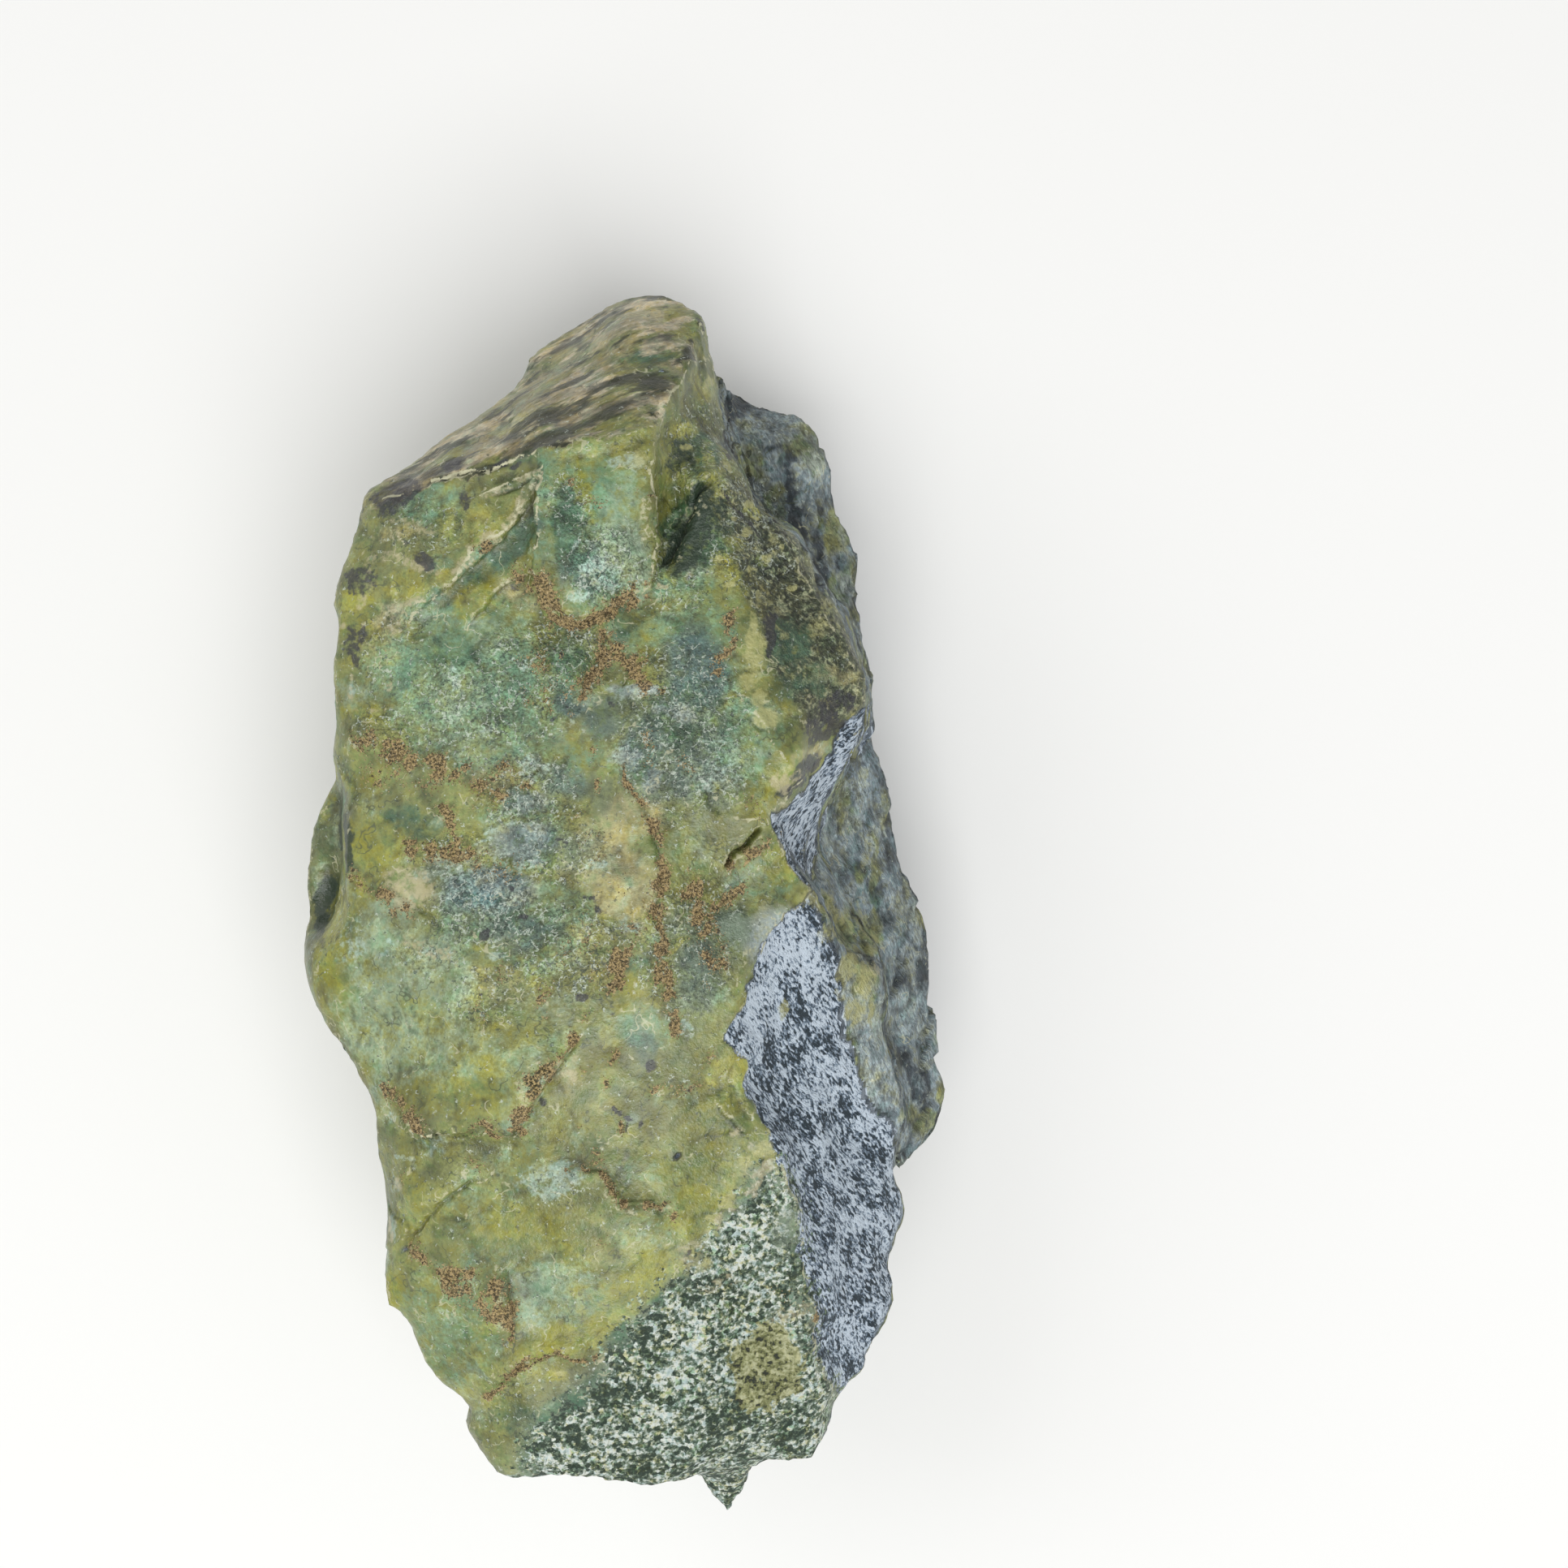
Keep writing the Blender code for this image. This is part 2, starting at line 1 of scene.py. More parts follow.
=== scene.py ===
"""Raw serpentine, dressed: one broken stone with a broad waxy face, lying on a pale floor.

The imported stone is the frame. Its skin is refined and roughened here the way serpentine breaks, painted
with its minerals, and dusted with the dry soil that is left in its cracks.

Marks on the broad side are placed on a drawing, in steps of 0.08 mm: the column to the right and the row
down from the narrow top, as they are seen on a level plane from one point straight above the stone.
"""

from __future__ import annotations

import itertools
import logging
import math
from collections.abc import Callable, Sequence
from dataclasses import dataclass, field
from enum import Enum

import bmesh
import bpy
import numpy as np
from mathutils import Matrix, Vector, noise


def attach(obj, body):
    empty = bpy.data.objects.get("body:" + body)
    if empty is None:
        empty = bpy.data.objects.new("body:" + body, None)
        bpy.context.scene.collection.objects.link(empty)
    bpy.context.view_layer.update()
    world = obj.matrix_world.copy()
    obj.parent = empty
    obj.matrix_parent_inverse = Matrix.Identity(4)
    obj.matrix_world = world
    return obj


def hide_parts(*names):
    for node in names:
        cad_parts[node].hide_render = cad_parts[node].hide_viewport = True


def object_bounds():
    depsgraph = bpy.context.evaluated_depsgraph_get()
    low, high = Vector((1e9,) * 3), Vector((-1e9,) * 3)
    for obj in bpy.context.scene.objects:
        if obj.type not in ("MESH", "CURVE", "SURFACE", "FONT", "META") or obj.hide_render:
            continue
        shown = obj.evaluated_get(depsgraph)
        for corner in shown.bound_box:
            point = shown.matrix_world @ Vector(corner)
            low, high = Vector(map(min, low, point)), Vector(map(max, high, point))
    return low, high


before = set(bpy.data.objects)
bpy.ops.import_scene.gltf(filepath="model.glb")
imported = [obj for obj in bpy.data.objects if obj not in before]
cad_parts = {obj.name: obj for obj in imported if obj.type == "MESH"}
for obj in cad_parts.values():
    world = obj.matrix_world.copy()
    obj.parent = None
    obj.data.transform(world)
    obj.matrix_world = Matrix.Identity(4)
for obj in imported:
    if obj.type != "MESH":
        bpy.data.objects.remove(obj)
CAD_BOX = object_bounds()

LOG = logging.getLogger("raw_serpentine")
MM = 0.001
FULL_TURN = 6.28  # in radians
NODE = "serpentine_stone"

SURVEY_POINT = (16.0, 12.75, 328.0)  # the point that the marks are seen from, in millimetres
SURVEY_PLANE = 49.6  # height of the level plane that the marks lie on, in millimetres

BEND_SEED = 11  # fixes the shift that noise vectors are read with, which is otherwise new in each run
DRAWING_STEP = 0.08  # one step of the drawing, in millimetres
DRAWING_CORNER = (-61.28, 90.03)  # where its first column and row lie on the survey plane, in millimetres

Tree = bpy.types.NodeTree
Socket = bpy.types.NodeSocket
Point2 = tuple[float, float]  # column and row
# A patch: column, row, half length, half width, strength in percent and, if it is turned, degrees.
Mark = tuple[float, ...]
# A drawn line: its strength, or its height in millimetres, its half width in millimetres, and its path.
Line = tuple[float, float, list[Point2]]
# Gives a share from 0 to 1 for a gap in half widths, the side of a path and how far along it is.
Profile = Callable[[np.ndarray, np.ndarray, np.ndarray], np.ndarray]
# A soft light: its name, the length of its side in metres, its power in watts and its place in metres.
Lamp = tuple[str, float, float, tuple[float, float, float]]


class Hue(Enum):
    """Colours of the minerals, the soil and the floor, and of the painted glints, as sRGB hex values."""

    OLIVE = "858a50"
    SHADE = "5f6745"
    YELLOW = "8e9138"
    FLAKE = "9a9c53"
    CITRON = "b3b177"
    TEAL = "73967a"
    DEEP = "42654d"
    BLUE = "4c686e"
    ICE = "aabeb3"
    MINT = "97a98c"
    BONE = "bdb592"
    TAN = "aba679"
    SAND = "a0987a"
    UMBER = "30331f"
    CHAR = "2b2b33"
    # Dark green of the notch and the shelf hollows, deepened with painted shade where they are recessed.
    NOTCH_GREEN_AND_SHADE = "28382a"
    LENS = "84937f"
    MOSS = "8c915e"
    NIGHT = "2f363d"
    FROST = "a3b0b3"
    SLATE = "828f96"
    HORN = "6f754a"
    SUGAR = "50573d"
    FLANK = "7f8c97"
    CHALK = "87938a"
    LIP = "c6c4a2"
    HAIRLINE = "464f37"
    GROOVE = "2a3a32"
    # Painted highlight: pale glints on the hackly face, drawn in place of sparkling light.
    GLINT = "ccd6c8"
    STREAK_OLIVE = "7b7e45"
    STREAK_PALE = "c4b89c"
    STREAK_DARK = "353920"
    SOIL_DARK = "5f5038"
    SOIL_LIGHT = "c0ab82"
    BOARD = "f4f4f2"


class Tint(Enum):
    """Colours that others are multiplied by, as sRGB hex values."""

    CREAM = "fdf0bc"
    WATER = "d2ece4"
    SAND = "e3dca6"
    LEAF = "bcdcb8"
    SKY = "d3e4ea"


class Zone(Enum):
    """Parts of the skin that break in their own way."""

    SPECKLED = "speckled"
    MAIN_FLANK = "main flank"
    SMALL_FLANK = "small flank"
    GRAINED = "grained"
    LOBE_SIDE = "lobe side"
    BROW = "brow"
    SHELF = "shelf"
    BLOTCH = "blotch"


# Which way the streaks of a zone run, in degrees from the right as seen from above, and how far they are
# squeezed along that way: a share of 0.25 draws a pattern out four times.
STREAKS: dict[Zone, tuple[float, float]] = {
    Zone.MAIN_FLANK: (-62.0, 0.42),
    Zone.SMALL_FLANK: (52.0, 0.3),
    Zone.LOBE_SIDE: (-68.0, 0.3),
    Zone.BROW: (27.0, 0.28),
}

# Clouds of mineral on the broad side, which drift away from where they are drawn and fray at the rim.
CLOUDS: dict[Hue, list[Mark]] = {
    Hue.TEAL: [
        (570, 830, 110, 72, 75), (600, 905, 95, 45, 60), (655, 850, 60, 55, 50), (525, 745, 42, 22, 60, 40),
        (730, 650, 62, 95, 75), (850, 770, 42, 35, 60), (640, 1010, 60, 30, 45), (600, 1125, 60, 40, 50),
        (660, 1160, 60, 40, 40), (930, 1085, 42, 30, 50), (560, 1160, 40, 25, 40),
        (620, 760, 60, 30, 40, 20), (550, 1620, 70, 50, 35, -20), (540, 1690, 50, 40, 35, -30),
        (600, 1490, 60, 30, 25), (790, 1262, 32, 22, 60), (810, 1460, 60, 40, 25),
        (530, 622, 44, 16, 65, 20), (612, 688, 66, 18, 75, 38), (545, 690, 20, 12, 50),
        (570, 770, 70, 26, 70, 25), (690, 590, 26, 40, 70), (845, 720, 40, 22, 60), (790, 790, 40, 30, 40),
        (690, 1120, 50, 30, 60), (780, 1192, 18, 13, 60), (800, 1270, 26, 26, 60),
        (560, 1650, 60, 40, 45, -30), (610, 1560, 60, 30, 30), (690, 1590, 60, 44, 50),
        (800, 1520, 40, 24, 35), (640, 1430, 60, 26, 30), (900, 840, 20, 26, 50), (925, 895, 40, 30, 70),
        (910, 940, 30, 30, 50), (890, 780, 20, 30, 50), (690, 1600, 50, 40, 55), (590, 650, 30, 14, 50, 30),
        (700, 950, 24, 20, 60), (770, 750, 40, 14, 50), (720, 920, 30, 30, 50), (780, 940, 30, 30, 50),
    ],
    Hue.DEEP: [
        (622, 1118, 20, 24, 60), (858, 560, 22, 34, 50, 40), (795, 885, 40, 25, 30),
        (510, 1012, 44, 17, 76), (860, 545, 14, 40, 80, 35), (850, 640, 30, 46, 85, -25),
        (858, 690, 26, 20, 80), (640, 985, 20, 14, 40), (870, 900, 40, 44, 35), (500, 620, 40, 14, 40, 30),
        (880, 650, 30, 50, 80, -10), (700, 640, 16, 50, 80), (735, 690, 30, 30, 60),
        (650, 560, 30, 14, 50, 20), (610, 700, 50, 14, 60, 35), (540, 640, 30, 12, 40, 20),
        (570, 790, 60, 20, 50, 30), (480, 740, 16, 24, 40), (600, 1180, 50, 16, 50), (690, 800, 30, 40, 50),
        (650, 880, 40, 30, 35), (835, 880, 40, 50, 50), (690, 640, 16, 50, 70), (700, 690, 20, 30, 50),
        (770, 770, 30, 20, 60), (700, 815, 30, 20, 60), (690, 860, 24, 16, 40),
    ],
    Hue.BLUE: [
        (858, 830, 42, 58, 75), (850, 930, 62, 62, 65), (800, 965, 42, 32, 50), (640, 990, 26, 18, 60),
        (695, 1045, 42, 32, 45), (700, 800, 30, 20, 40), (700, 845, 35, 20, 40), (880, 975, 32, 28, 50),
        (860, 1200, 30, 60, 55), (845, 1245, 26, 40, 35), (905, 1155, 32, 42, 35),
        (560, 1440, 60, 20, 25, 20), (845, 1150, 30, 40, 40), (905, 1147, 24, 26, 55),
        (790, 1285, 16, 34, 45), (770, 1142, 26, 9, 40, -12), (540, 1075, 40, 12, 50, 5),
        (700, 1180, 24, 18, 30), (590, 1110, 60, 26, 70), (570, 1150, 50, 20, 50), (660, 640, 10, 20, 50),
        (715, 700, 30, 24, 60), (780, 870, 50, 30, 50), (700, 960, 30, 20, 60), (640, 1150, 60, 24, 60),
        (600, 1100, 60, 30, 90), (650, 1040, 50, 30, 70), (740, 880, 40, 26, 60, -20),
        (700, 872, 26, 16, 70), (800, 930, 34, 50, 70), (680, 960, 20, 26, 50), (740, 975, 18, 40, 40),
    ],
    Hue.ICE: [
        (640, 1062, 42, 18, 45), (560, 1080, 50, 12, 50), (885, 955, 26, 20, 35), (660, 942, 15, 16, 70),
        (770, 932, 14, 22, 45), (680, 1452, 44, 20, 70, 12), (430, 1160, 18, 30, 30),
    ],
    Hue.MINT: [
        (480, 1150, 46, 48, 75), (520, 1210, 76, 58, 75), (470, 1272, 44, 56, 80, 40),
        (560, 1290, 70, 42, 50), (700, 1250, 80, 30, 30), (640, 1335, 42, 40, 40), (640, 1380, 26, 12, 50),
        (745, 1060, 16, 16, 40), (470, 1350, 20, 20, 50), (850, 1040, 40, 26, 35), (668, 1600, 46, 46, 70),
        (700, 1575, 40, 20, 50), (500, 1310, 50, 30, 50), (790, 700, 14, 40, 75), (770, 610, 26, 30, 50),
        (640, 1300, 34, 30, 50), (610, 1010, 30, 20, 40), (655, 1100, 40, 20, 40), (575, 1500, 50, 26, 25),
        (600, 780, 30, 30, 50), (560, 860, 26, 40, 50), (640, 760, 24, 16, 40), (480, 1220, 50, 50, 80),
        (760, 660, 30, 40, 70), (920, 930, 30, 20, 40), (775, 690, 22, 40, 70), (500, 760, 30, 14, 30),
    ],
    Hue.BONE: [(503, 1095, 30, 26, 70), (540, 1172, 26, 14, 35), (960, 968, 12, 14, 80, 40)],
    Hue.TAN: [
        (770, 1010, 46, 30, 70), (622, 950, 42, 34, 50), (710, 930, 32, 40, 33), (742, 1160, 60, 60, 35),
        (600, 1205, 50, 30, 40), (480, 790, 42, 22, 40), (622, 1620, 26, 12, 60),
        (690, 1320, 26, 10, 50, 15), (520, 1110, 40, 18, 30, -20), (700, 1420, 40, 26, 25),
        (730, 1520, 30, 50, 25), (850, 1560, 26, 22, 60, 30), (640, 1360, 16, 24, 40, -30),
        (730, 1350, 40, 40, 25), (770, 1105, 40, 26, 80), (640, 730, 34, 14, 60, -20),
        (475, 765, 20, 24, 60), (700, 1125, 26, 20, 40), (865, 1565, 26, 18, 70, 40),
        (505, 1100, 30, 20, 50), (960, 1000, 30, 18, 40), (745, 1030, 36, 44, 75), (765, 1085, 50, 34, 90),
        (620, 1170, 30, 16, 40), (560, 930, 30, 10, 40), (700, 1075, 24, 24, 40),
        (480, 660, 30, 10, 50, 20), (700, 905, 30, 18, 42),
    ],
    Hue.YELLOW: [
        (430, 752, 24, 30, 60), (962, 955, 13, 30, 70, -20), (935, 985, 26, 26, 40),
        (955, 1065, 18, 26, 70, 30), (460, 1042, 36, 34, 60), (450, 882, 42, 14, 50),
        (402, 1190, 13, 40, 80, 25), (590, 1330, 50, 50, 40), (500, 1480, 26, 40, 40),
        (640, 1510, 62, 26, 50), (474, 1600, 22, 34, 80), (885, 1370, 56, 18, 45, 20),
        (930, 1420, 30, 18, 80, -45), (875, 1492, 66, 18, 85, 40), (790, 1592, 62, 30, 80, 45),
        (700, 1652, 62, 14, 80, 15), (692, 1696, 14, 10, 80), (735, 1610, 42, 34, 50),
        (540, 1350, 36, 26, 30), (520, 1300, 26, 40, 25), (450, 1440, 30, 60, 40), (640, 1290, 30, 20, 30),
        (720, 755, 60, 14, 27, 20), (600, 710, 20, 20, 40), (585, 742, 20, 24, 80, -40),
        (720, 600, 9, 40, 75, 15), (755, 548, 50, 11, 40, 28), (925, 745, 14, 40, 35, 20),
        (915, 700, 22, 30, 50, 20), (866, 430, 10, 50, 40, -12), (858, 500, 18, 30, 30, -15),
        (878, 600, 22, 26, 60), (905, 850, 22, 20, 25), (930, 812, 24, 50, 23), (940, 960, 26, 40, 25, -20),
        (516, 1245, 40, 16, 55, -28), (880, 1420, 44, 26, 60, 40), (850, 1480, 40, 20, 50, 50),
        (505, 720, 40, 20, 50), (665, 1650, 50, 10, 60, 5), (600, 655, 34, 22, 50, 20),
        (410, 1130, 16, 44, 80), (405, 990, 10, 40, 40),
    ],
    Hue.CITRON: [(945, 1415, 16, 12, 70, 40), (958, 960, 7, 18, 70, -20)],
    Hue.SHADE: [
        (862, 1382, 62, 40, 35), (820, 1302, 52, 30, 30), (620, 1250, 42, 40, 35), (480, 950, 62, 40, 40),
        (850, 740, 30, 14, 30), (760, 1390, 60, 30, 20), (560, 1410, 60, 18, 30), (780, 1530, 50, 30, 20),
        (870, 1420, 50, 30, 30), (730, 1245, 40, 12, 30, 30), (500, 650, 44, 26, 70, 30),
        (470, 690, 26, 30, 60), (645, 640, 16, 60, 90, -12), (560, 600, 60, 14, 70, 25),
        (470, 850, 50, 30, 55), (620, 1225, 34, 26, 50), (850, 1300, 34, 44, 60), (800, 1350, 50, 22, 40),
        (905, 620, 30, 40, 70, 20), (890, 560, 14, 44, 50, 10), (880, 1010, 24, 10, 50),
        (862, 470, 20, 70, 90, -8), (850, 540, 26, 50, 70, 20), (470, 640, 40, 30, 50, 20),
        (600, 700, 40, 20, 50, 30), (520, 760, 60, 24, 40), (690, 640, 10, 60, 40), (400, 1000, 30, 60, 80),
        (690, 1720, 50, 30, 70, -20), (650, 1760, 24, 30, 60), (745, 1690, 30, 24, 60, -40),
        (790, 1640, 24, 14, 50, -40), (866, 500, 18, 66, 100, -5), (872, 580, 14, 40, 80),
        (410, 1000, 18, 50, 100), (440, 900, 16, 16, 40), (620, 600, 60, 12, 70, 15),
        (640, 560, 40, 12, 50, 20),
    ],
    Hue.FROST: [
        (640, 1040, 60, 30, 42), (590, 1088, 44, 22, 42), (560, 1060, 40, 12, 40), (630, 1100, 40, 30, 35),
        (650, 990, 30, 16, 40), (770, 930, 20, 16, 50), (800, 960, 24, 20, 40), (780, 850, 40, 12, 70, -5),
        (830, 880, 30, 14, 50),
    ],
}

# Small marks on the broad side, which keep to their place.
SMALL_MARKS: dict[Hue, list[Mark]] = {
    Hue.FLAKE: [
        (592, 648, 25, 18, 100, 20), (548, 716, 12, 15, 100, 20), (586, 738, 14, 20, 80, -35),
        (500, 722, 34, 20, 55), (902, 1318, 24, 26, 100, -20), (885, 1335, 22, 12, 80, 30),
        (832, 1168, 17, 5, 100, 48), (560, 655, 12, 20, 60), (845, 530, 20, 12, 90, 20),
        (868, 485, 9, 22, 57, -20), (860, 470, 10, 14, 36), (880, 598, 14, 22, 80, -15),
        (872, 560, 8, 20, 70, 10), (905, 560, 5, 22, 60, 20), (888, 690, 13, 8, 100),
        (905, 712, 12, 10, 90), (905, 668, 16, 10, 70), (928, 632, 12, 9, 90), (940, 690, 9, 6, 80, -30),
        (1040, 925, 4, 14, 90, -15), (690, 1695, 11, 8, 100, -20), (425, 755, 12, 9, 70),
        (980, 800, 5, 8, 50), (755, 550, 44, 6, 17, 30), (965, 1060, 12, 22, 80, 25),
        (700, 1660, 24, 5, 70, 5), (735, 1645, 22, 8, 80, 30), (760, 1625, 18, 9, 80, 45),
        (785, 1605, 18, 9, 80, 45), (808, 1588, 16, 9, 80, 45), (835, 1565, 14, 10, 70, 45),
        (858, 1540, 12, 9, 60, 45), (880, 1512, 12, 12, 80, 60), (893, 1485, 10, 14, 70, 60),
        (918, 1470, 10, 8, 50), (948, 1432, 14, 8, 70, 45), (925, 1425, 14, 9, 80, 30),
        (900, 1450, 14, 12, 70, 40), (600, 1635, 10, 9, 70),
    ],
    Hue.CITRON: [
        (886, 692, 6, 5, 100), (891, 612, 4, 4, 100), (905, 640, 5, 3, 90), (922, 625, 4, 4, 100),
        (930, 640, 4, 3, 90), (918, 655, 5, 3, 90), (945, 688, 6, 4, 90, -40), (900, 718, 7, 5, 90),
        (928, 700, 4, 3, 80), (895, 575, 3, 7, 80, 20), (870, 475, 4, 12, 80, -20), (930, 800, 14, 30, 75),
        (920, 838, 14, 12, 70), (945, 886, 16, 13, 100), (935, 862, 10, 12, 80), (928, 770, 6, 18, 70, 15),
        (690, 1693, 6, 4, 100), (940, 1415, 14, 9, 80, 40), (915, 1440, 16, 8, 60, 50),
        (898, 1478, 15, 7, 80, 50), (878, 1500, 10, 6, 50), (870, 1560, 12, 8, 70, 30),
        (790, 565, 8, 12, 50), (820, 610, 3, 5, 60), (960, 960, 6, 18, 60, -20), (975, 940, 4, 14, 60, -35),
        (845, 552, 8, 4, 70), (960, 675, 4, 3, 70), (975, 725, 5, 4, 60), (950, 740, 4, 6, 60),
        (935, 735, 4, 8, 70, 20), (1068, 1208, 12, 22, 70), (1075, 1250, 6, 20, 70),
        (1030, 1125, 16, 8, 60, -35), (1018, 1108, 14, 6, 60, -35), (1060, 1130, 6, 22, 50, 10),
        (1075, 1160, 6, 20, 60), (1035, 1225, 6, 8, 80), (965, 1243, 4, 12, 90),
        (1070, 1045, 4, 24, 40, -10), (1005, 1112, 26, 10, 70, -20), (1045, 1190, 12, 24, 80, -20),
        (1052, 1245, 14, 18, 70), (1020, 1150, 12, 10, 50),
    ],
    Hue.BONE: [
        (590, 672, 16, 7, 52, 20), (604, 664, 10, 8, 72), (574, 694, 14, 9, 52, 40), (565, 704, 9, 6, 52),
        (530, 702, 16, 5, 52, -30), (500, 690, 24, 6, 49, -35), (478, 684, 10, 8, 46), (458, 688, 7, 8, 52),
        (452, 715, 6, 18, 40), (445, 740, 5, 10, 56), (497, 640, 20, 6, 40, -15), (487, 660, 6, 10, 35),
        (520, 652, 20, 6, 29, -10), (630, 640, 5, 22, 64, -35), (640, 620, 5, 16, 64, -20),
        (650, 590, 14, 5, 64, 10), (615, 606, 22, 5, 64, 20), (485, 750, 16, 6, 64),
        (510, 742, 22, 4, 56, 8), (482, 770, 8, 14, 40), (932, 1452, 8, 18, 80, -35), (926, 1470, 8, 6, 80),
        (885, 1505, 6, 10, 72), (900, 1490, 5, 9, 56, -30), (945, 1438, 6, 10, 72, -30),
        (962, 968, 9, 12, 76, 40), (975, 958, 5, 12, 56, -45), (740, 1675, 4, 4, 80), (432, 845, 3, 22, 56),
        (425, 770, 4, 4, 64), (447, 770, 3, 4, 72), (480, 845, 4, 4, 72), (706, 1305, 10, 6, 40),
        (700, 1325, 11, 7, 56), (735, 748, 26, 4, 32, 22), (684, 752, 4, 8, 64, -20),
        (520, 1165, 34, 7, 29, -18), (560, 1180, 16, 8, 24, -20), (455, 875, 30, 3, 28, -5),
        (815, 1488, 9, 4, 64), (815, 722, 8, 5, 72), (665, 585, 6, 10, 64), (843, 1545, 10, 8, 48),
        (858, 1535, 10, 6, 48), (475, 1490, 5, 14, 64), (480, 1515, 5, 18, 72), (488, 1460, 5, 10, 56, 20),
        (905, 1395, 14, 6, 40, 40), (925, 1410, 6, 8, 56), (975, 1618, 26, 10, 45, 20),
        (875, 1585, 20, 6, 50, 10), (900, 1578, 16, 5, 40), (1075, 1195, 10, 8, 50),
        (1060, 1100, 6, 14, 30),
    ],
    Hue.ICE: [
        (775, 852, 26, 5, 100, -5), (528, 1415, 12, 14, 56, 20), (500, 1428, 12, 5, 90, -15),
        (545, 1412, 8, 14, 37, 20), (485, 1512, 4, 18, 80), (483, 1455, 4, 16, 60, 15),
        (486, 1378, 9, 6, 50), (615, 1020, 26, 3, 80, 18), (600, 1035, 20, 2, 60, 15),
        (640, 1070, 10, 4, 50), (780, 1145, 14, 5, 80, -20), (768, 1132, 6, 5, 60),
        (613, 1178, 12, 5, 90, 10), (470, 1178, 10, 3, 70, 40), (480, 1160, 8, 3, 70, -30),
        (510, 1200, 20, 2, 60, 5), (500, 1185, 16, 2, 60, 10), (530, 1175, 14, 3, 60, -15),
        (880, 965, 10, 8, 60), (868, 975, 8, 5, 50), (770, 930, 10, 14, 50), (763, 920, 6, 6, 60),
        (655, 955, 12, 8, 60, 20), (665, 945, 8, 5, 60), (700, 1447, 20, 5, 30, 10),
        (745, 690, 10, 14, 60, 20), (730, 672, 8, 10, 50, -30), (765, 700, 10, 8, 50),
        (750, 715, 12, 8, 60), (712, 665, 5, 12, 70, -25), (765, 568, 22, 6, 90, 10), (785, 572, 10, 8, 70),
        (690, 655, 3, 10, 40), (725, 625, 4, 8, 50), (560, 830, 3, 9, 60, 20), (572, 845, 6, 12, 50),
        (435, 850, 4, 6, 70), (880, 912, 18, 2, 80, -3), (705, 890, 4, 4, 50), (848, 1262, 8, 4, 80, -50),
        (840, 1272, 7, 3, 70, 40), (850, 1275, 6, 3, 60), (650, 1045, 8, 5, 50), (735, 1065, 14, 6, 50, 10),
        (560, 840, 4, 14, 80, 20), (600, 900, 14, 4, 80, 10), (650, 820, 4, 12, 70, -20),
        (730, 700, 20, 10, 80, 20), (745, 720, 18, 8, 80, -10), (715, 735, 16, 6, 80, 10),
        (770, 860, 20, 4, 70, 10), (560, 1100, 26, 6, 70, 10), (600, 1120, 26, 5, 70, -10),
        (640, 1110, 20, 5, 70, 20),
    ],
    Hue.CHAR: [
        (500, 606, 22, 15, 81, 30), (478, 625, 18, 10, 77, 20), (462, 618, 8, 14, 51, 20),
        (573, 617, 8, 12, 95), (558, 576, 14, 7, 77, 15), (615, 575, 12, 6, 80, 15),
        (520, 690, 14, 6, 81, -20), (527, 697, 8, 5, 90), (442, 708, 14, 9, 72), (440, 725, 12, 14, 77),
        (455, 715, 8, 16, 51), (435, 790, 10, 18, 81), (447, 782, 8, 10, 80), (437, 815, 6, 10, 80),
        (522, 648, 8, 4, 40, -10), (620, 740, 6, 4, 50), (635, 722, 8, 5, 80, 20),
        (950, 782, 7, 28, 85, -5), (945, 762, 7, 7, 80), (1022, 868, 16, 11, 81, 20),
        (1040, 858, 12, 8, 90), (1022, 885, 12, 9, 100), (1030, 895, 14, 8, 85, 30),
        (1015, 905, 8, 7, 90, 40), (1003, 945, 14, 4, 85, 48), (985, 962, 16, 5, 85, 50),
        (972, 975, 8, 5, 90, 45), (1045, 865, 6, 14, 42), (717, 1228, 7, 6, 100), (803, 1312, 7, 9, 100),
        (669, 1358, 5, 6, 100), (660, 1362, 4, 2, 90, 40), (763, 1368, 7, 3, 90, -30),
        (775, 1376, 9, 3, 90, -35), (790, 1386, 3, 9, 90, -15), (771, 1390, 2, 9, 80),
        (595, 1152, 6, 7, 100), (601, 1146, 3, 4, 100), (558, 1207, 3, 2, 80), (596, 1225, 3, 2, 100),
        (645, 1131, 7, 3, 100, 5), (636, 1112, 6, 2, 70, 5), (631, 1095, 3, 5, 70, 30),
        (692, 1037, 11, 2, 90, -18), (730, 1110, 4, 4, 90), (738, 1120, 14, 4, 59, -40),
        (722, 1108, 4, 3, 70), (698, 868, 4, 5, 70), (682, 885, 6, 4, 70, 40), (666, 868, 3, 9, 60, 10),
        (752, 871, 6, 3, 90, -30), (905, 625, 3, 26, 85, 35), (925, 650, 3, 20, 77, 38),
        (893, 545, 3, 14, 77, 15), (898, 560, 3, 8, 90, 20), (880, 530, 2, 14, 51, 25),
        (902, 478, 12, 6, 90, 25), (898, 465, 4, 8, 60), (637, 575, 9, 3, 70, 15),
        (500, 670, 4, 2, 70, -20), (848, 1545, 6, 3, 50, 20), (690, 808, 5, 4, 50),
        (680, 800, 8, 4, 40, 20), (660, 1062, 5, 4, 50), (752, 1246, 4, 3, 50), (590, 1392, 3, 2, 60),
        (1003, 900, 12, 16, 70),
    ],
    # Dark in the deep notch right of the window and in the hollows of the left shelf: partly dark green
    # mineral, partly painted shade.
    Hue.NOTCH_GREEN_AND_SHADE: [
        (862, 602, 12, 5, 100, 20), (825, 680, 3, 24, 100, -28), (836, 662, 7, 30, 100, -30),
        (858, 618, 14, 14, 94, -20), (870, 640, 12, 22, 75, -20), (862, 668, 14, 12, 88),
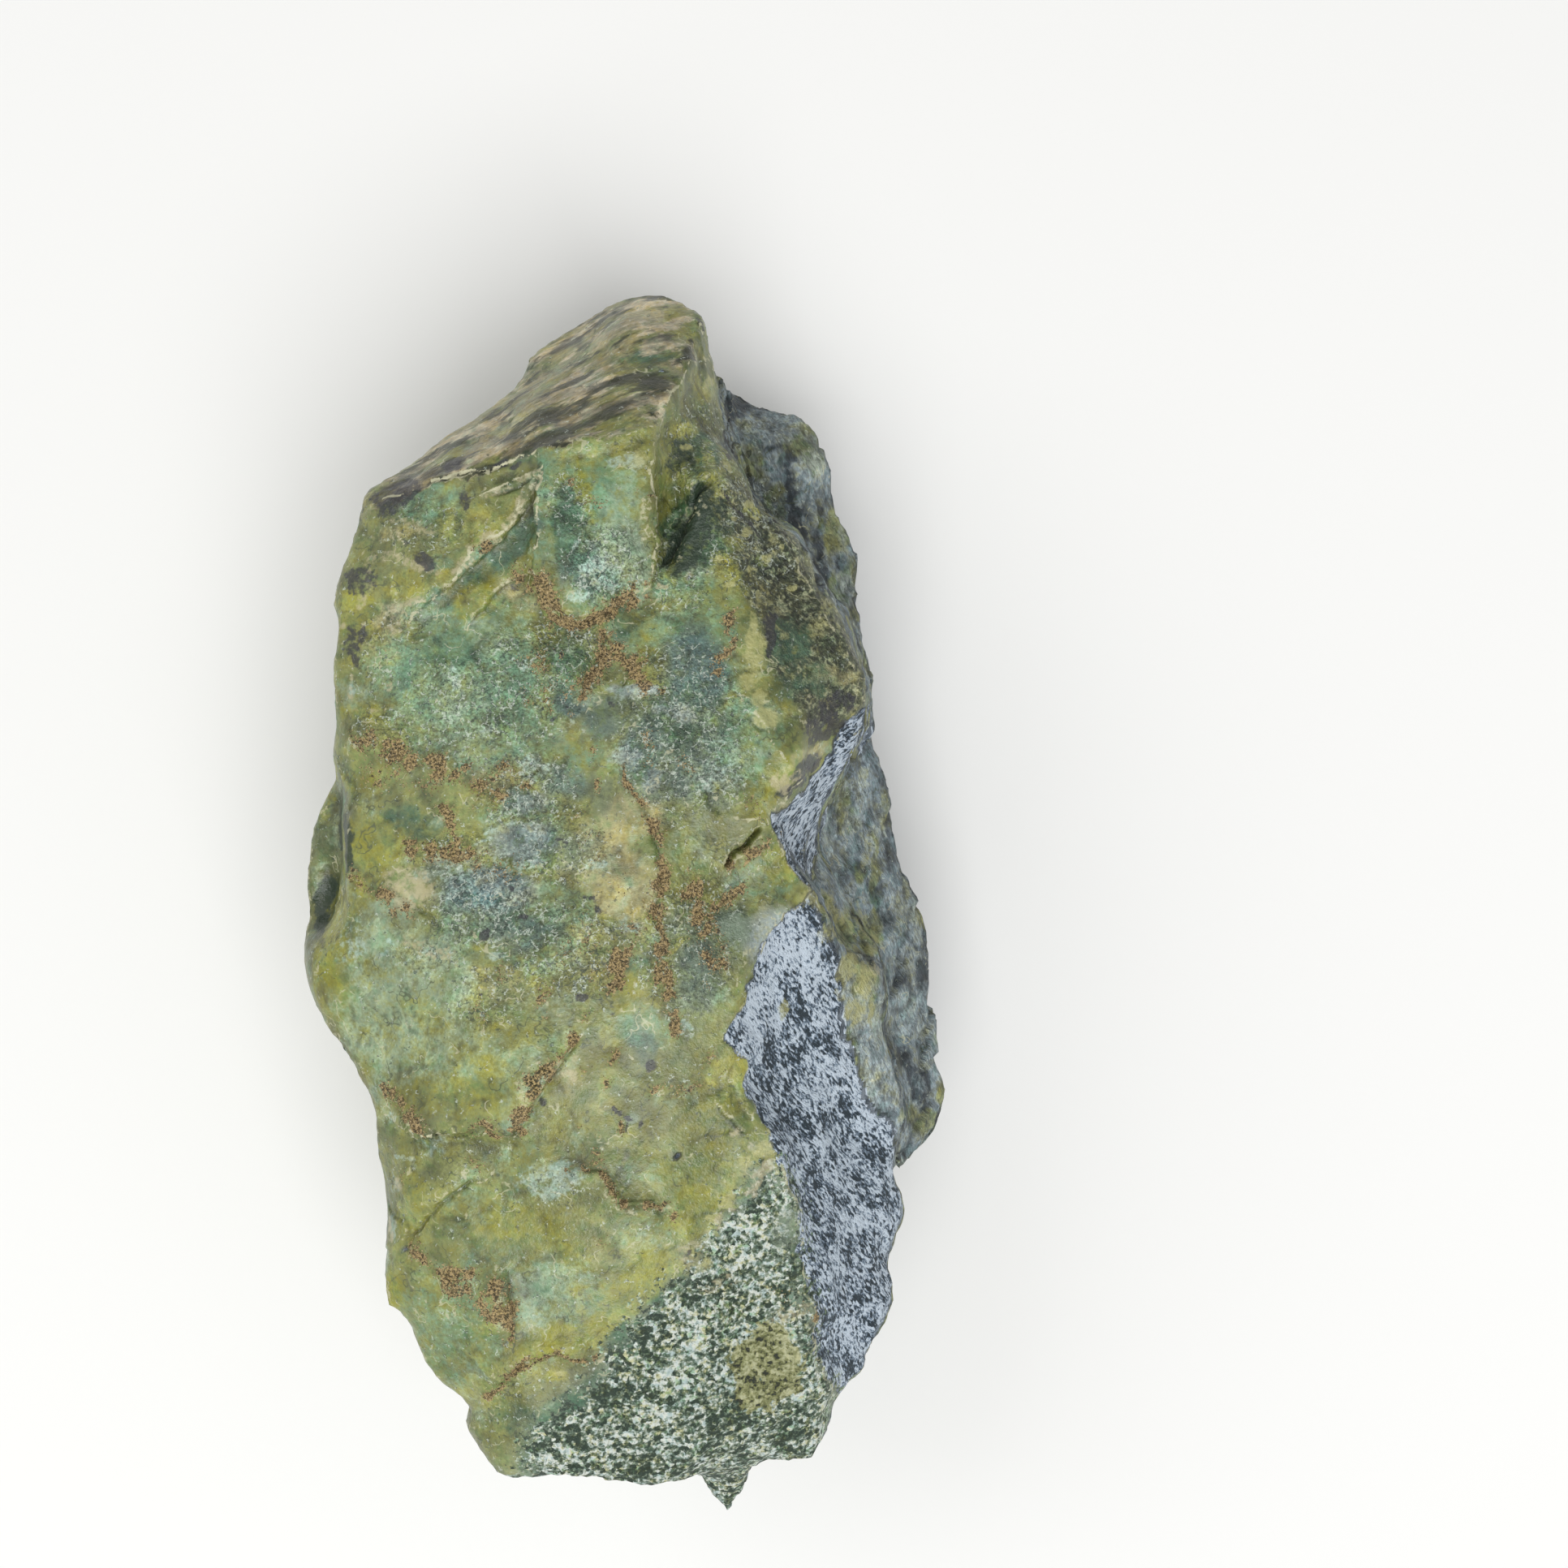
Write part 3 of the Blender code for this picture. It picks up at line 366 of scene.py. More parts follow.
        (840, 700, 12, 10, 88), (852, 690, 10, 14, 88), (818, 660, 4, 3, 100, 40), (885, 650, 12, 14, 56),
        (845, 560, 6, 22, 75, 35), (400, 1105, 12, 26, 100, -25), (395, 1135, 10, 14, 88),
        (425, 1030, 8, 34, 88, 5), (430, 1060, 6, 18, 75), (402, 1090, 8, 12, 75),
        (850, 648, 16, 56, 95, -30), (880, 640, 14, 30, 60, -20), (835, 560, 10, 30, 50, -25),
    ],
    Hue.LENS: [
        (779, 1378, 9, 8, 100), (905, 1147, 21, 23, 70), (928, 1412, 9, 8, 60),
        (860, 1010, 12, 20, 40, -20), (965, 1515, 14, 30, 60, -10),
    ],
    Hue.DEEP: [
        (975, 790, 26, 34, 75), (1000, 838, 26, 22, 50), (965, 850, 20, 26, 40),
        (690, 1720, 26, 12, 36, 20), (620, 1740, 20, 26, 40), (655, 1750, 40, 20, 48, 20),
        (690, 1735, 40, 16, 80, 20), (770, 1650, 40, 24, 70, -40), (820, 1600, 34, 20, 60, -40),
        (740, 1760, 40, 14, 50, 10), (890, 1600, 30, 14, 60), (860, 1740, 30, 14, 40),
        (760, 1805, 40, 12, 40), (905, 1750, 20, 12, 70), (690, 1770, 40, 20, 54),
        (740, 1720, 30, 30, 54, -40), (800, 1640, 24, 18, 80, -40), (850, 1590, 24, 14, 70, -30),
        (650, 1790, 16, 26, 60), (900, 1610, 34, 16, 60, 10), (860, 1600, 20, 14, 50),
        (820, 1800, 50, 14, 60), (960, 1770, 30, 16, 50), (890, 1745, 26, 24, 70), (985, 1560, 10, 40, 60),
    ],
    Hue.TAN: [
        (1028, 832, 26, 12, 70, -10), (985, 935, 22, 10, 60, 40), (1010, 925, 16, 8, 70, 40),
        (850, 1560, 16, 14, 90, 30),
    ],
    Hue.MINT: [
        (840, 1640, 34, 44, 80), (900, 1530, 30, 26, 90), (820, 1690, 40, 20, 80), (940, 1560, 26, 24, 60),
        (680, 1790, 34, 16, 70), (870, 1700, 26, 40, 50), (1000, 1730, 20, 30, 50), (780, 1770, 40, 20, 40),
        (860, 1650, 16, 36, 60), (830, 1670, 30, 40, 70), (680, 1805, 30, 12, 60), (1010, 1740, 20, 20, 70),
        (790, 1740, 50, 16, 50, -10), (920, 1550, 40, 50, 80), (890, 1610, 30, 30, 70),
        (955, 1490, 20, 30, 60),
    ],
    Hue.NIGHT: [
        (975, 1225, 14, 40, 80, 10), (965, 1290, 26, 30, 50), (990, 1385, 40, 14, 70, 10),
        (1080, 1430, 20, 20, 60), (1030, 1180, 10, 40, 50), (1000, 1480, 20, 30, 40),
        (1060, 1560, 20, 40, 40), (1010, 1640, 16, 40, 50), (1070, 1700, 20, 30, 40),
        (990, 945, 26, 7, 90, 40), (965, 975, 14, 6, 80, 35),
    ],
    Hue.FROST: [
        (945, 1245, 30, 34, 80, -30), (1030, 1330, 26, 26, 70), (1010, 1412, 16, 8, 90),
        (925, 1290, 14, 14, 80), (1080, 1380, 16, 20, 50), (1040, 1500, 30, 20, 50),
        (1100, 1600, 16, 40, 40), (1050, 1640, 14, 30, 50), (1010, 1000, 30, 10, 50, 50),
        (1040, 930, 10, 30, 50, -20), (965, 1170, 44, 56, 80, 20), (1010, 1220, 20, 30, 50),
        (1000, 1000, 16, 40, 50, 40), (960, 1010, 14, 14, 60),
    ],
}

# Bands of the brow, the facet that falls away to the narrow top.
BROW_MARKS: dict[Hue, list[Mark]] = {
    Hue.SAND: [
        (770, 400, 90, 24, 85, 12), (830, 385, 40, 20, 60), (700, 452, 60, 16, 80, 25),
        (735, 430, 26, 20, 60), (650, 500, 60, 20, 85, 32), (600, 542, 60, 16, 80, 30),
        (740, 462, 60, 8, 90, 12), (660, 470, 26, 14, 60, 40), (800, 405, 60, 10, 80, 14),
        (720, 490, 50, 9, 50, 14), (680, 490, 50, 14, 90, 25), (740, 420, 40, 20, 90, 5),
        (610, 545, 50, 10, 90, 26), (600, 590, 30, 6, 60, 20),
    ],
    Hue.UMBER: [
        (688, 430, 16, 7, 100, 25), (716, 425, 10, 9, 80), (800, 425, 36, 10, 100, 15),
        (800, 450, 30, 9, 60, 5), (780, 468, 60, 7, 100, 10), (705, 512, 50, 12, 90, 12),
        (780, 500, 50, 14, 70, 10), (640, 545, 34, 12, 70, 25), (612, 578, 60, 9, 100, 18),
        (560, 574, 20, 9, 90, 10), (500, 600, 50, 16, 100, 30), (802, 366, 38, 5, 100, 2),
        (650, 560, 60, 8, 90, 20), (745, 530, 50, 10, 70, 22), (845, 440, 8, 26, 60, -10),
        (680, 560, 24, 10, 80, 30), (530, 590, 30, 12, 90, 20), (835, 480, 10, 20, 50),
        (480, 625, 26, 12, 60, 25), (745, 505, 50, 8, 100, 14), (690, 532, 50, 8, 100, 20),
        (820, 470, 20, 20, 80, 30), (500, 615, 30, 14, 90, 30), (700, 425, 22, 8, 80, 20),
        (760, 545, 40, 7, 70, 18),
    ],
    Hue.DEEP: [
        (810, 440, 26, 9, 80, 8), (700, 545, 40, 12, 70, 30), (750, 470, 20, 6, 40, 10),
        (760, 395, 10, 14, 40), (735, 400, 10, 16, 40), (640, 560, 40, 12, 50, 25),
        (800, 440, 30, 12, 90, 10), (720, 520, 60, 8, 60, 15), (820, 500, 20, 16, 70, 30),
    ],
    Hue.YELLOW: [
        (830, 500, 18, 10, 50, 30), (855, 400, 12, 26, 70, -10), (780, 540, 40, 9, 50, 28),
        (560, 600, 26, 8, 30, 10), (540, 570, 40, 8, 70, 28), (640, 520, 40, 8, 40, 28),
        (700, 400, 30, 8, 60, 30), (830, 400, 14, 30, 60, -15), (700, 470, 40, 7, 50, 20),
        (770, 455, 40, 6, 50, 12), (760, 525, 50, 7, 60, 18),
    ],
    Hue.SHADE: [
        (862, 470, 18, 70, 100, -8), (700, 540, 80, 14, 60, 20), (560, 600, 80, 16, 60, 20),
        (864, 500, 18, 66, 100, -5), (872, 580, 14, 40, 80),
    ],
}

# Mottling of the low lobe on the right.
LOBE_MARKS: dict[Hue, list[Mark]] = {
    Hue.MOSS: [
        (925, 578, 26, 15, 100, -25), (905, 600, 12, 20, 52), (995, 530, 19, 12, 94, -15),
        (1002, 560, 14, 28, 83), (1026, 662, 12, 22, 94), (1010, 640, 8, 12, 62), (945, 625, 8, 20, 73),
        (1025, 722, 8, 18, 83), (1030, 750, 10, 26, 73), (1075, 812, 14, 30, 100), (1048, 1012, 14, 18, 94),
        (1080, 1060, 6, 44, 83), (1060, 1075, 8, 16, 73), (1012, 1118, 19, 13, 100, -38),
        (1040, 1145, 22, 14, 94, -40), (1075, 1150, 14, 30, 83), (1066, 1215, 19, 32, 100),
        (1082, 1262, 7, 26, 94), (1100, 1190, 7, 12, 42), (1060, 1345, 22, 30, 83),
        (1045, 1290, 8, 30, 73, 15), (1120, 1372, 14, 12, 73, 20), (1165, 1345, 10, 30, 83),
        (1150, 1280, 10, 14, 42), (1040, 925, 7, 16, 73, -15), (1020, 1020, 8, 20, 42),
        (1000, 1045, 8, 24, 73), (1150, 1400, 10, 16, 52), (1050, 1290, 7, 30, 94),
        (1062, 1325, 10, 22, 83), (1050, 1150, 10, 40, 62, 10), (1040, 1060, 7, 16, 52),
        (960, 640, 8, 30, 70, -10), (1040, 990, 10, 30, 70), (1090, 1000, 8, 30, 60),
        (1130, 1120, 10, 30, 60, 10), (1120, 1240, 8, 20, 50), (1060, 1180, 20, 12, 80, -20),
        (1140, 1380, 20, 14, 90, 30), (920, 570, 22, 20, 90), (985, 545, 22, 16, 100, 20),
        (955, 605, 14, 14, 70), (1035, 650, 14, 34, 80), (1050, 730, 14, 44, 90), (1060, 830, 12, 30, 70),
    ],
    Hue.NIGHT: [
        (950, 545, 15, 11, 90, -15), (976, 590, 9, 40, 100, 5), (988, 640, 11, 26, 90, 12),
        (1008, 690, 10, 40, 100, 14), (910, 475, 18, 14, 90, 20), (935, 505, 10, 8, 50),
        (1132, 1335, 12, 36, 100, 10), (1110, 1300, 14, 12, 80), (1135, 1185, 16, 40, 80, 8),
        (1120, 1215, 26, 12, 80), (1065, 1182, 26, 9, 80, -25), (1090, 1130, 10, 20, 60),
        (1060, 1068, 10, 12, 70), (1100, 1040, 10, 40, 50), (1010, 635, 8, 10, 60),
        (1045, 820, 10, 20, 60, 20), (1100, 1270, 10, 14, 60), (1088, 960, 12, 40, 40),
        (1050, 740, 6, 26, 50), (1035, 690, 5, 20, 50), (1000, 690, 12, 50, 90), (980, 630, 12, 20, 60),
        (1012, 610, 6, 20, 50), (905, 500, 16, 20, 80),
    ],
    Hue.FROST: [
        (965, 520, 18, 12, 100), (938, 602, 10, 14, 80), (985, 616, 8, 8, 92), (1012, 605, 12, 20, 46),
        (1045, 720, 10, 30, 69), (1030, 1050, 10, 36, 100, 8), (1055, 1100, 20, 14, 80),
        (1070, 1045, 8, 20, 69), (1040, 1210, 12, 22, 100), (1055, 1235, 18, 10, 69),
        (1110, 1250, 20, 34, 92), (1160, 1318, 14, 18, 100), (1140, 1260, 12, 20, 57),
        (1080, 1310, 20, 26, 92), (1120, 1190, 8, 14, 57), (920, 525, 16, 16, 57), (1110, 1400, 24, 26, 46),
        (1010, 1075, 12, 22, 69), (1065, 960, 12, 30, 34), (1040, 650, 6, 30, 46), (1130, 1360, 6, 6, 80),
        (1085, 1290, 16, 14, 100), (1080, 1340, 20, 16, 92), (1060, 1270, 14, 16, 80),
        (1020, 1130, 8, 20, 46, -20), (1090, 1240, 10, 20, 57), (1060, 990, 8, 26, 92),
        (1085, 1020, 8, 30, 69, 10), (1020, 1040, 6, 26, 92, 10), (1030, 600, 8, 24, 69),
        (950, 575, 10, 20, 69), (1050, 780, 6, 20, 57), (1130, 1150, 8, 20, 69), (1020, 1000, 10, 40, 80),
        (1050, 1030, 10, 40, 70), (1110, 1120, 30, 30, 60), (1090, 1200, 16, 60, 50),
        (1130, 1240, 20, 40, 60), (1075, 1290, 26, 40, 90), (1090, 1340, 20, 30, 90),
        (1140, 1300, 20, 20, 60), (1030, 740, 10, 30, 60), (1000, 620, 8, 30, 50), (945, 530, 44, 22, 70),
        (1000, 590, 22, 40, 60), (975, 510, 30, 14, 70), (940, 640, 20, 20, 40), (1030, 740, 12, 60, 40),
    ],
    Hue.DEEP: [
        (945, 628, 9, 18, 60), (1010, 642, 9, 11, 80), (1060, 1072, 11, 14, 70), (1050, 1135, 12, 14, 50),
        (965, 570, 10, 10, 50), (1075, 790, 8, 10, 40), (1080, 1110, 10, 20, 60), (1110, 1140, 10, 24, 50),
        (930, 540, 16, 14, 60),
    ],
}

# Stretches of the broad side that broke hackly rather than glassy.
HACKLY: list[Mark] = [
    (740, 692, 52, 44, 100), (700, 620, 30, 40, 70), (600, 860, 110, 60, 80), (640, 830, 60, 60, 70),
    (560, 930, 50, 30, 60), (840, 900, 80, 110, 80), (700, 800, 60, 50, 80), (650, 980, 60, 60, 80),
    (690, 1050, 60, 50, 70), (600, 1120, 70, 50, 90), (700, 1170, 80, 60, 80), (850, 1160, 70, 90, 70),
    (500, 900, 60, 40, 60), (560, 1050, 60, 30, 60), (840, 700, 40, 60, 70), (910, 650, 60, 80, 90, 30),
    (520, 650, 60, 40, 50), (600, 1230, 50, 40, 60), (530, 1180, 50, 26, 50), (560, 1430, 70, 40, 25),
    (640, 1590, 50, 50, 10), (730, 1500, 70, 60, 17), (860, 560, 40, 70, 70), (560, 1640, 50, 60, 20, -30),
    (620, 1740, 60, 50, 25), (480, 800, 50, 60, 50), (690, 1460, 50, 24, 35), (640, 1690, 60, 20, 25),
    (850, 1320, 60, 50, 20),
]

# Outlines of the zones that break in their own way.
ZONES: dict[Zone, list[Point2]] = {
    Zone.SPECKLED: [
        (640, 1822), (655, 1765), (735, 1690), (790, 1612), (865, 1545), (905, 1480), (940, 1432),
        (960, 1440), (978, 1480), (985, 1550), (1003, 1620), (998, 1665), (1034, 1715), (1024, 1790),
        (1000, 1830), (940, 1900), (800, 1900), (650, 1900),
    ],
    Zone.MAIN_FLANK: [
        (1000, 1100), (960, 1125), (925, 1190), (905, 1255), (888, 1282), (918, 1305), (912, 1335),
        (925, 1360), (942, 1390), (962, 1440), (978, 1480), (985, 1550), (1003, 1620), (998, 1665),
        (1036, 1722), (1020, 1790), (1120, 1760), (1180, 1600), (1180, 1480), (1104, 1450), (1103, 1390),
        (1068, 1352), (1052, 1300), (1038, 1255), (1034, 1180),
    ],
    Zone.SMALL_FLANK: [
        (1072, 862), (1040, 890), (1018, 935), (985, 978), (943, 1008), (958, 1045), (975, 1075),
        (1000, 1100), (1003, 1060), (1015, 1010), (1040, 952), (1074, 905),
    ],
    Zone.GRAINED: [
        (862, 612), (882, 640), (905, 700), (935, 765), (955, 830), (1000, 902), (1040, 888), (1075, 862),
        (1060, 795), (1034, 755), (1004, 718), (985, 664), (938, 640), (915, 595), (888, 585),
    ],
    Zone.LOBE_SIDE: [
        (884, 440), (884, 520), (918, 600), (938, 644), (985, 662), (1006, 718), (1036, 757), (1054, 795),
        (1075, 868), (1068, 905), (1040, 952), (1016, 1010), (1003, 1060), (1000, 1100), (1034, 1180),
        (1038, 1255), (1052, 1300), (1068, 1352), (1103, 1390), (1104, 1450), (1300, 1450), (1300, 440),
    ],
    Zone.BROW: [
        (440, 640), (470, 622), (530, 600), (600, 583), (668, 557), (735, 545), (800, 530), (815, 505),
        (835, 470), (852, 440), (866, 395), (850, 340), (760, 330), (600, 480), (420, 600),
    ],
    Zone.SHELF: [
        (430, 925), (438, 980), (441, 1060), (438, 1120), (430, 1170), (402, 1190), (398, 1240),
        (440, 1300), (380, 1300), (340, 1200), (340, 1000), (400, 930),
    ],
    Zone.BLOTCH: [
        (903, 1700), (905, 1668), (915, 1645), (930, 1632), (955, 1625), (975, 1640), (985, 1665),
        (990, 1690), (985, 1712), (965, 1728), (940, 1735), (920, 1742), (908, 1725),
    ],
}

# How wide the ragged change at the edge of a zone is, in millimetres.
ZONE_EDGES: dict[Zone, float] = {
    Zone.SPECKLED: 7.0,
    Zone.MAIN_FLANK: 1.0,
    Zone.SMALL_FLANK: 1.0,
    Zone.GRAINED: 2.6,
    Zone.LOBE_SIDE: 1.6,
    Zone.BROW: 2.2,
    Zone.SHELF: 2.2,
    Zone.BLOTCH: 2.4,
}

# Zones whose soft edge is left to the finish to break up.
FRAYED = (Zone.SPECKLED, Zone.GRAINED, Zone.BLOTCH)

# Cracks: depth, half width and path.
CRACKS: list[Line] = [
    (1, 0.4, [(885, 590), (868, 600), (855, 612), (845, 640), (835, 670), (818, 698)]),
    (2.2, 0.28, [(893, 1068), (903, 1056), (914, 1049), (924, 1036), (938, 1021)]),
    (0.5, 0.3, [(505, 1528), (528, 1500), (548, 1478), (570, 1466), (600, 1446)]),
    (0.5, 0.3, [(632, 1398), (640, 1385), (662, 1350), (690, 1310), (720, 1270)]),
    (0.45, 0.3, [(525, 1395), (560, 1397), (590, 1388), (620, 1396), (642, 1398)]),
    (0.4, 0.3, [(632, 1560), (628, 1590), (634, 1620), (632, 1650)]),
    (0.5, 0.3, [(600, 1722), (632, 1690), (650, 1676), (690, 1668), (728, 1676)]),
    (0.4, 0.3, [(715, 868), (724, 842), (738, 822), (746, 796), (752, 776)]),
    (0.35, 0.25, [(445, 895), (470, 896), (482, 898), (498, 898)]),
    (0.4, 0.3, [(765, 948), (788, 988), (800, 1010), (811, 1050), (816, 1095), (806, 1125), (815, 1168)]),
    (0.3, 0.3, [(470, 1085), (500, 1110), (530, 1128), (545, 1150)]),
    (0.5, 0.3, [(940, 905), (930, 890), (922, 882)]),
    (0.3, 0.3, [(870, 970), (878, 992), (888, 1005)]),
    (0.35, 0.3, [(600, 612), (630, 604), (665, 590)]),
    (0.3, 0.3, [(520, 600), (560, 590), (600, 580), (640, 572)]),
    (0.35, 0.3, [(732, 1443), (750, 1457), (772, 1484), (800, 1488), (826, 1500)]),
]

# Flake steps: height, how far the lip reaches back and edge. The lip is on the left, going along the edge.
STEPS: list[Line] = [
    (0.75, 3, [(490, 780), (545, 725), (590, 690), (640, 640), (665, 590), (672, 575)]),
    (0.52, 2, [(575, 780), (600, 740), (630, 715), (670, 700)]),
    (0.75, 4, [(470, 1372), (520, 1400), (600, 1395), (640, 1390), (662, 1350), (720, 1270)]),
    (0.6, 2.5, [(832, 1500), (800, 1482), (770, 1480), (750, 1450), (705, 1440)]),
    (0.6, 2.5, [(682, 758), (700, 768), (740, 758), (768, 738), (800, 726)]),
    (0.68, 2, [(674, 566), (668, 620), (664, 680), (672, 740), (682, 758)]),
    (0.52, 2, [(800, 726), (806, 690), (802, 640), (800, 590)]),
    (0.45, 2, [(745, 800), (728, 840), (712, 868)]),
    (0.45, 2, [(880, 1358), (905, 1385), (925, 1400)]),
    (0.6, 2, [(592, 1732), (632, 1690), (655, 1672), (700, 1668), (735, 1680)]),
]

# Main ridges that are brought to an edge: height, half width and crest.
RIDGES: list[Line] = [
    (0.5, 1.3, [
        (470, 612), (530, 600), (600, 583), (668, 557), (735, 545), (800, 528), (818, 505), (836, 470),
        (852, 440), (862, 400),
    ]),
    (0.45, 1.2, [
        (862, 400), (872, 450), (886, 500), (905, 560), (930, 620), (960, 660), (1000, 740), (1040, 800),
        (1066, 870),
    ]),
    (0.35, 0.9, [(815, 520), (800, 560), (802, 600), (806, 650), (804, 712)]),
    (0.35, 0.9, [(670, 560), (668, 620), (664, 680), (674, 730), (686, 760)]),
    (0.35, 0.9, [(686, 760), (740, 748), (800, 722), (815, 700)]),
    (0.4, 1, [(830, 560), (850, 600), (870, 590), (890, 570)]),
    (0.4, 1.2, [
        (885, 1005), (940, 1008), (958, 1045), (975, 1075), (1000, 1100), (960, 1125), (925, 1190),
        (905, 1255), (888, 1282),
    ]),
    (0.35, 1, [
        (888, 1282), (918, 1305), (912, 1335), (942, 1390), (962, 1440), (978, 1480), (985, 1550),
        (1003, 1620), (998, 1665), (1030, 1718),
    ]),
    (0.25, 0.8, [(610, 640), (575, 690), (545, 730), (490, 780)]),
    (0.3, 1, [(905, 850), (930, 880), (985, 960), (945, 1005)]),
]

# Thin pale lips where a flake parted: strength, half width and path.
LIPS: list[Line] = [
    (0.9, 0.12, [(534, 595), (571, 585), (604, 578), (640, 568), (668, 557)]),
    (0.8, 0.1088, [(587, 613), (617, 600), (650, 585), (664, 582)]),
    (0.9, 0.1088, [
        (650, 593), (637, 626), (626, 650), (604, 663), (588, 676), (568, 698), (551, 726), (530, 739),
        (510, 746), (493, 775),
    ]),
    (0.9, 0.0872, [(672, 570), (672, 618), (667, 676), (659, 701)]),
    (0.8, 0.076, [(669, 693), (679, 719), (689, 759)]),
    (0.9, 0.0976, [(604, 731), (629, 716), (650, 708)]),
    (0.8, 0.0872, [(485, 660), (505, 676), (530, 702)]),
    (0.7, 0.0656, [(559, 673), (584, 674), (609, 643), (591, 638)]),
    (0.7, 0.076, [(690, 765), (720, 760), (750, 748), (780, 735), (800, 724)]),
    (0.9, 0.0872, [(800, 580), (801, 640), (800, 690), (798, 722)]),
    (0.7, 0.0544, [(650, 640), (640, 615), (652, 600), (668, 600)]),
    (0.6, 0.0544, [(664, 690), (652, 720), (655, 760)]),
    (0.6, 0.0656, [(815, 520), (812, 560), (822, 600), (830, 640), (818, 660)]),
    (0.6, 0.0656, [(840, 520), (850, 560), (862, 590)]),
    (0.8, 0.0872, [(470, 1372), (500, 1388), (530, 1396), (560, 1398)]),
    (0.7, 0.076, [(640, 1390), (625, 1410), (612, 1440), (590, 1458)]),
    (0.6, 0.0544, [(590, 1458), (560, 1470), (530, 1490), (505, 1520)]),
    (0.7, 0.0656, [(700, 1440), (735, 1445)]),
    (0.7, 0.0656, [(790, 1490), (825, 1482), (828, 1505)]),
    (0.6, 0.0656, [(650, 1400), (668, 1425), (700, 1442)]),
    (0.7, 0.076, [(893, 1288), (920, 1305), (925, 1325), (905, 1350)]),
    (0.6, 0.0656, [(815, 1180), (842, 1150)]),
    (0.6, 0.0656, [(830, 1200), (826, 1240), (832, 1270)]),
    (0.5, 0.0544, [(935, 1000), (900, 1030), (885, 1060)]),
    (0.5, 0.0656, [(896, 850), (892, 880), (890, 900)]),
    (0.6, 0.0656, [(756, 850), (770, 845), (790, 852), (805, 846)]),
    (0.5, 0.0544, [(740, 770), (745, 800), (730, 850)]),
    (0.6, 0.076, [(600, 1735), (630, 1700), (650, 1680), (690, 1672)]),
    (0.6, 0.0656, [(478, 1470), (490, 1490), (486, 1530)]),
    (0.5, 0.0544, [(565, 900), (575, 940), (600, 930), (640, 930), (655, 970)]),
    (0.5, 0.0544, [(905, 1060), (940, 1030)]),
    (0.5, 0.0656, [(440, 1100), (436, 1150), (420, 1180)]),
]

# Strength and half width, in millimetres, of the pale lip along each flake step and ridge.
EDGE_LIP = (0.7, 0.1)

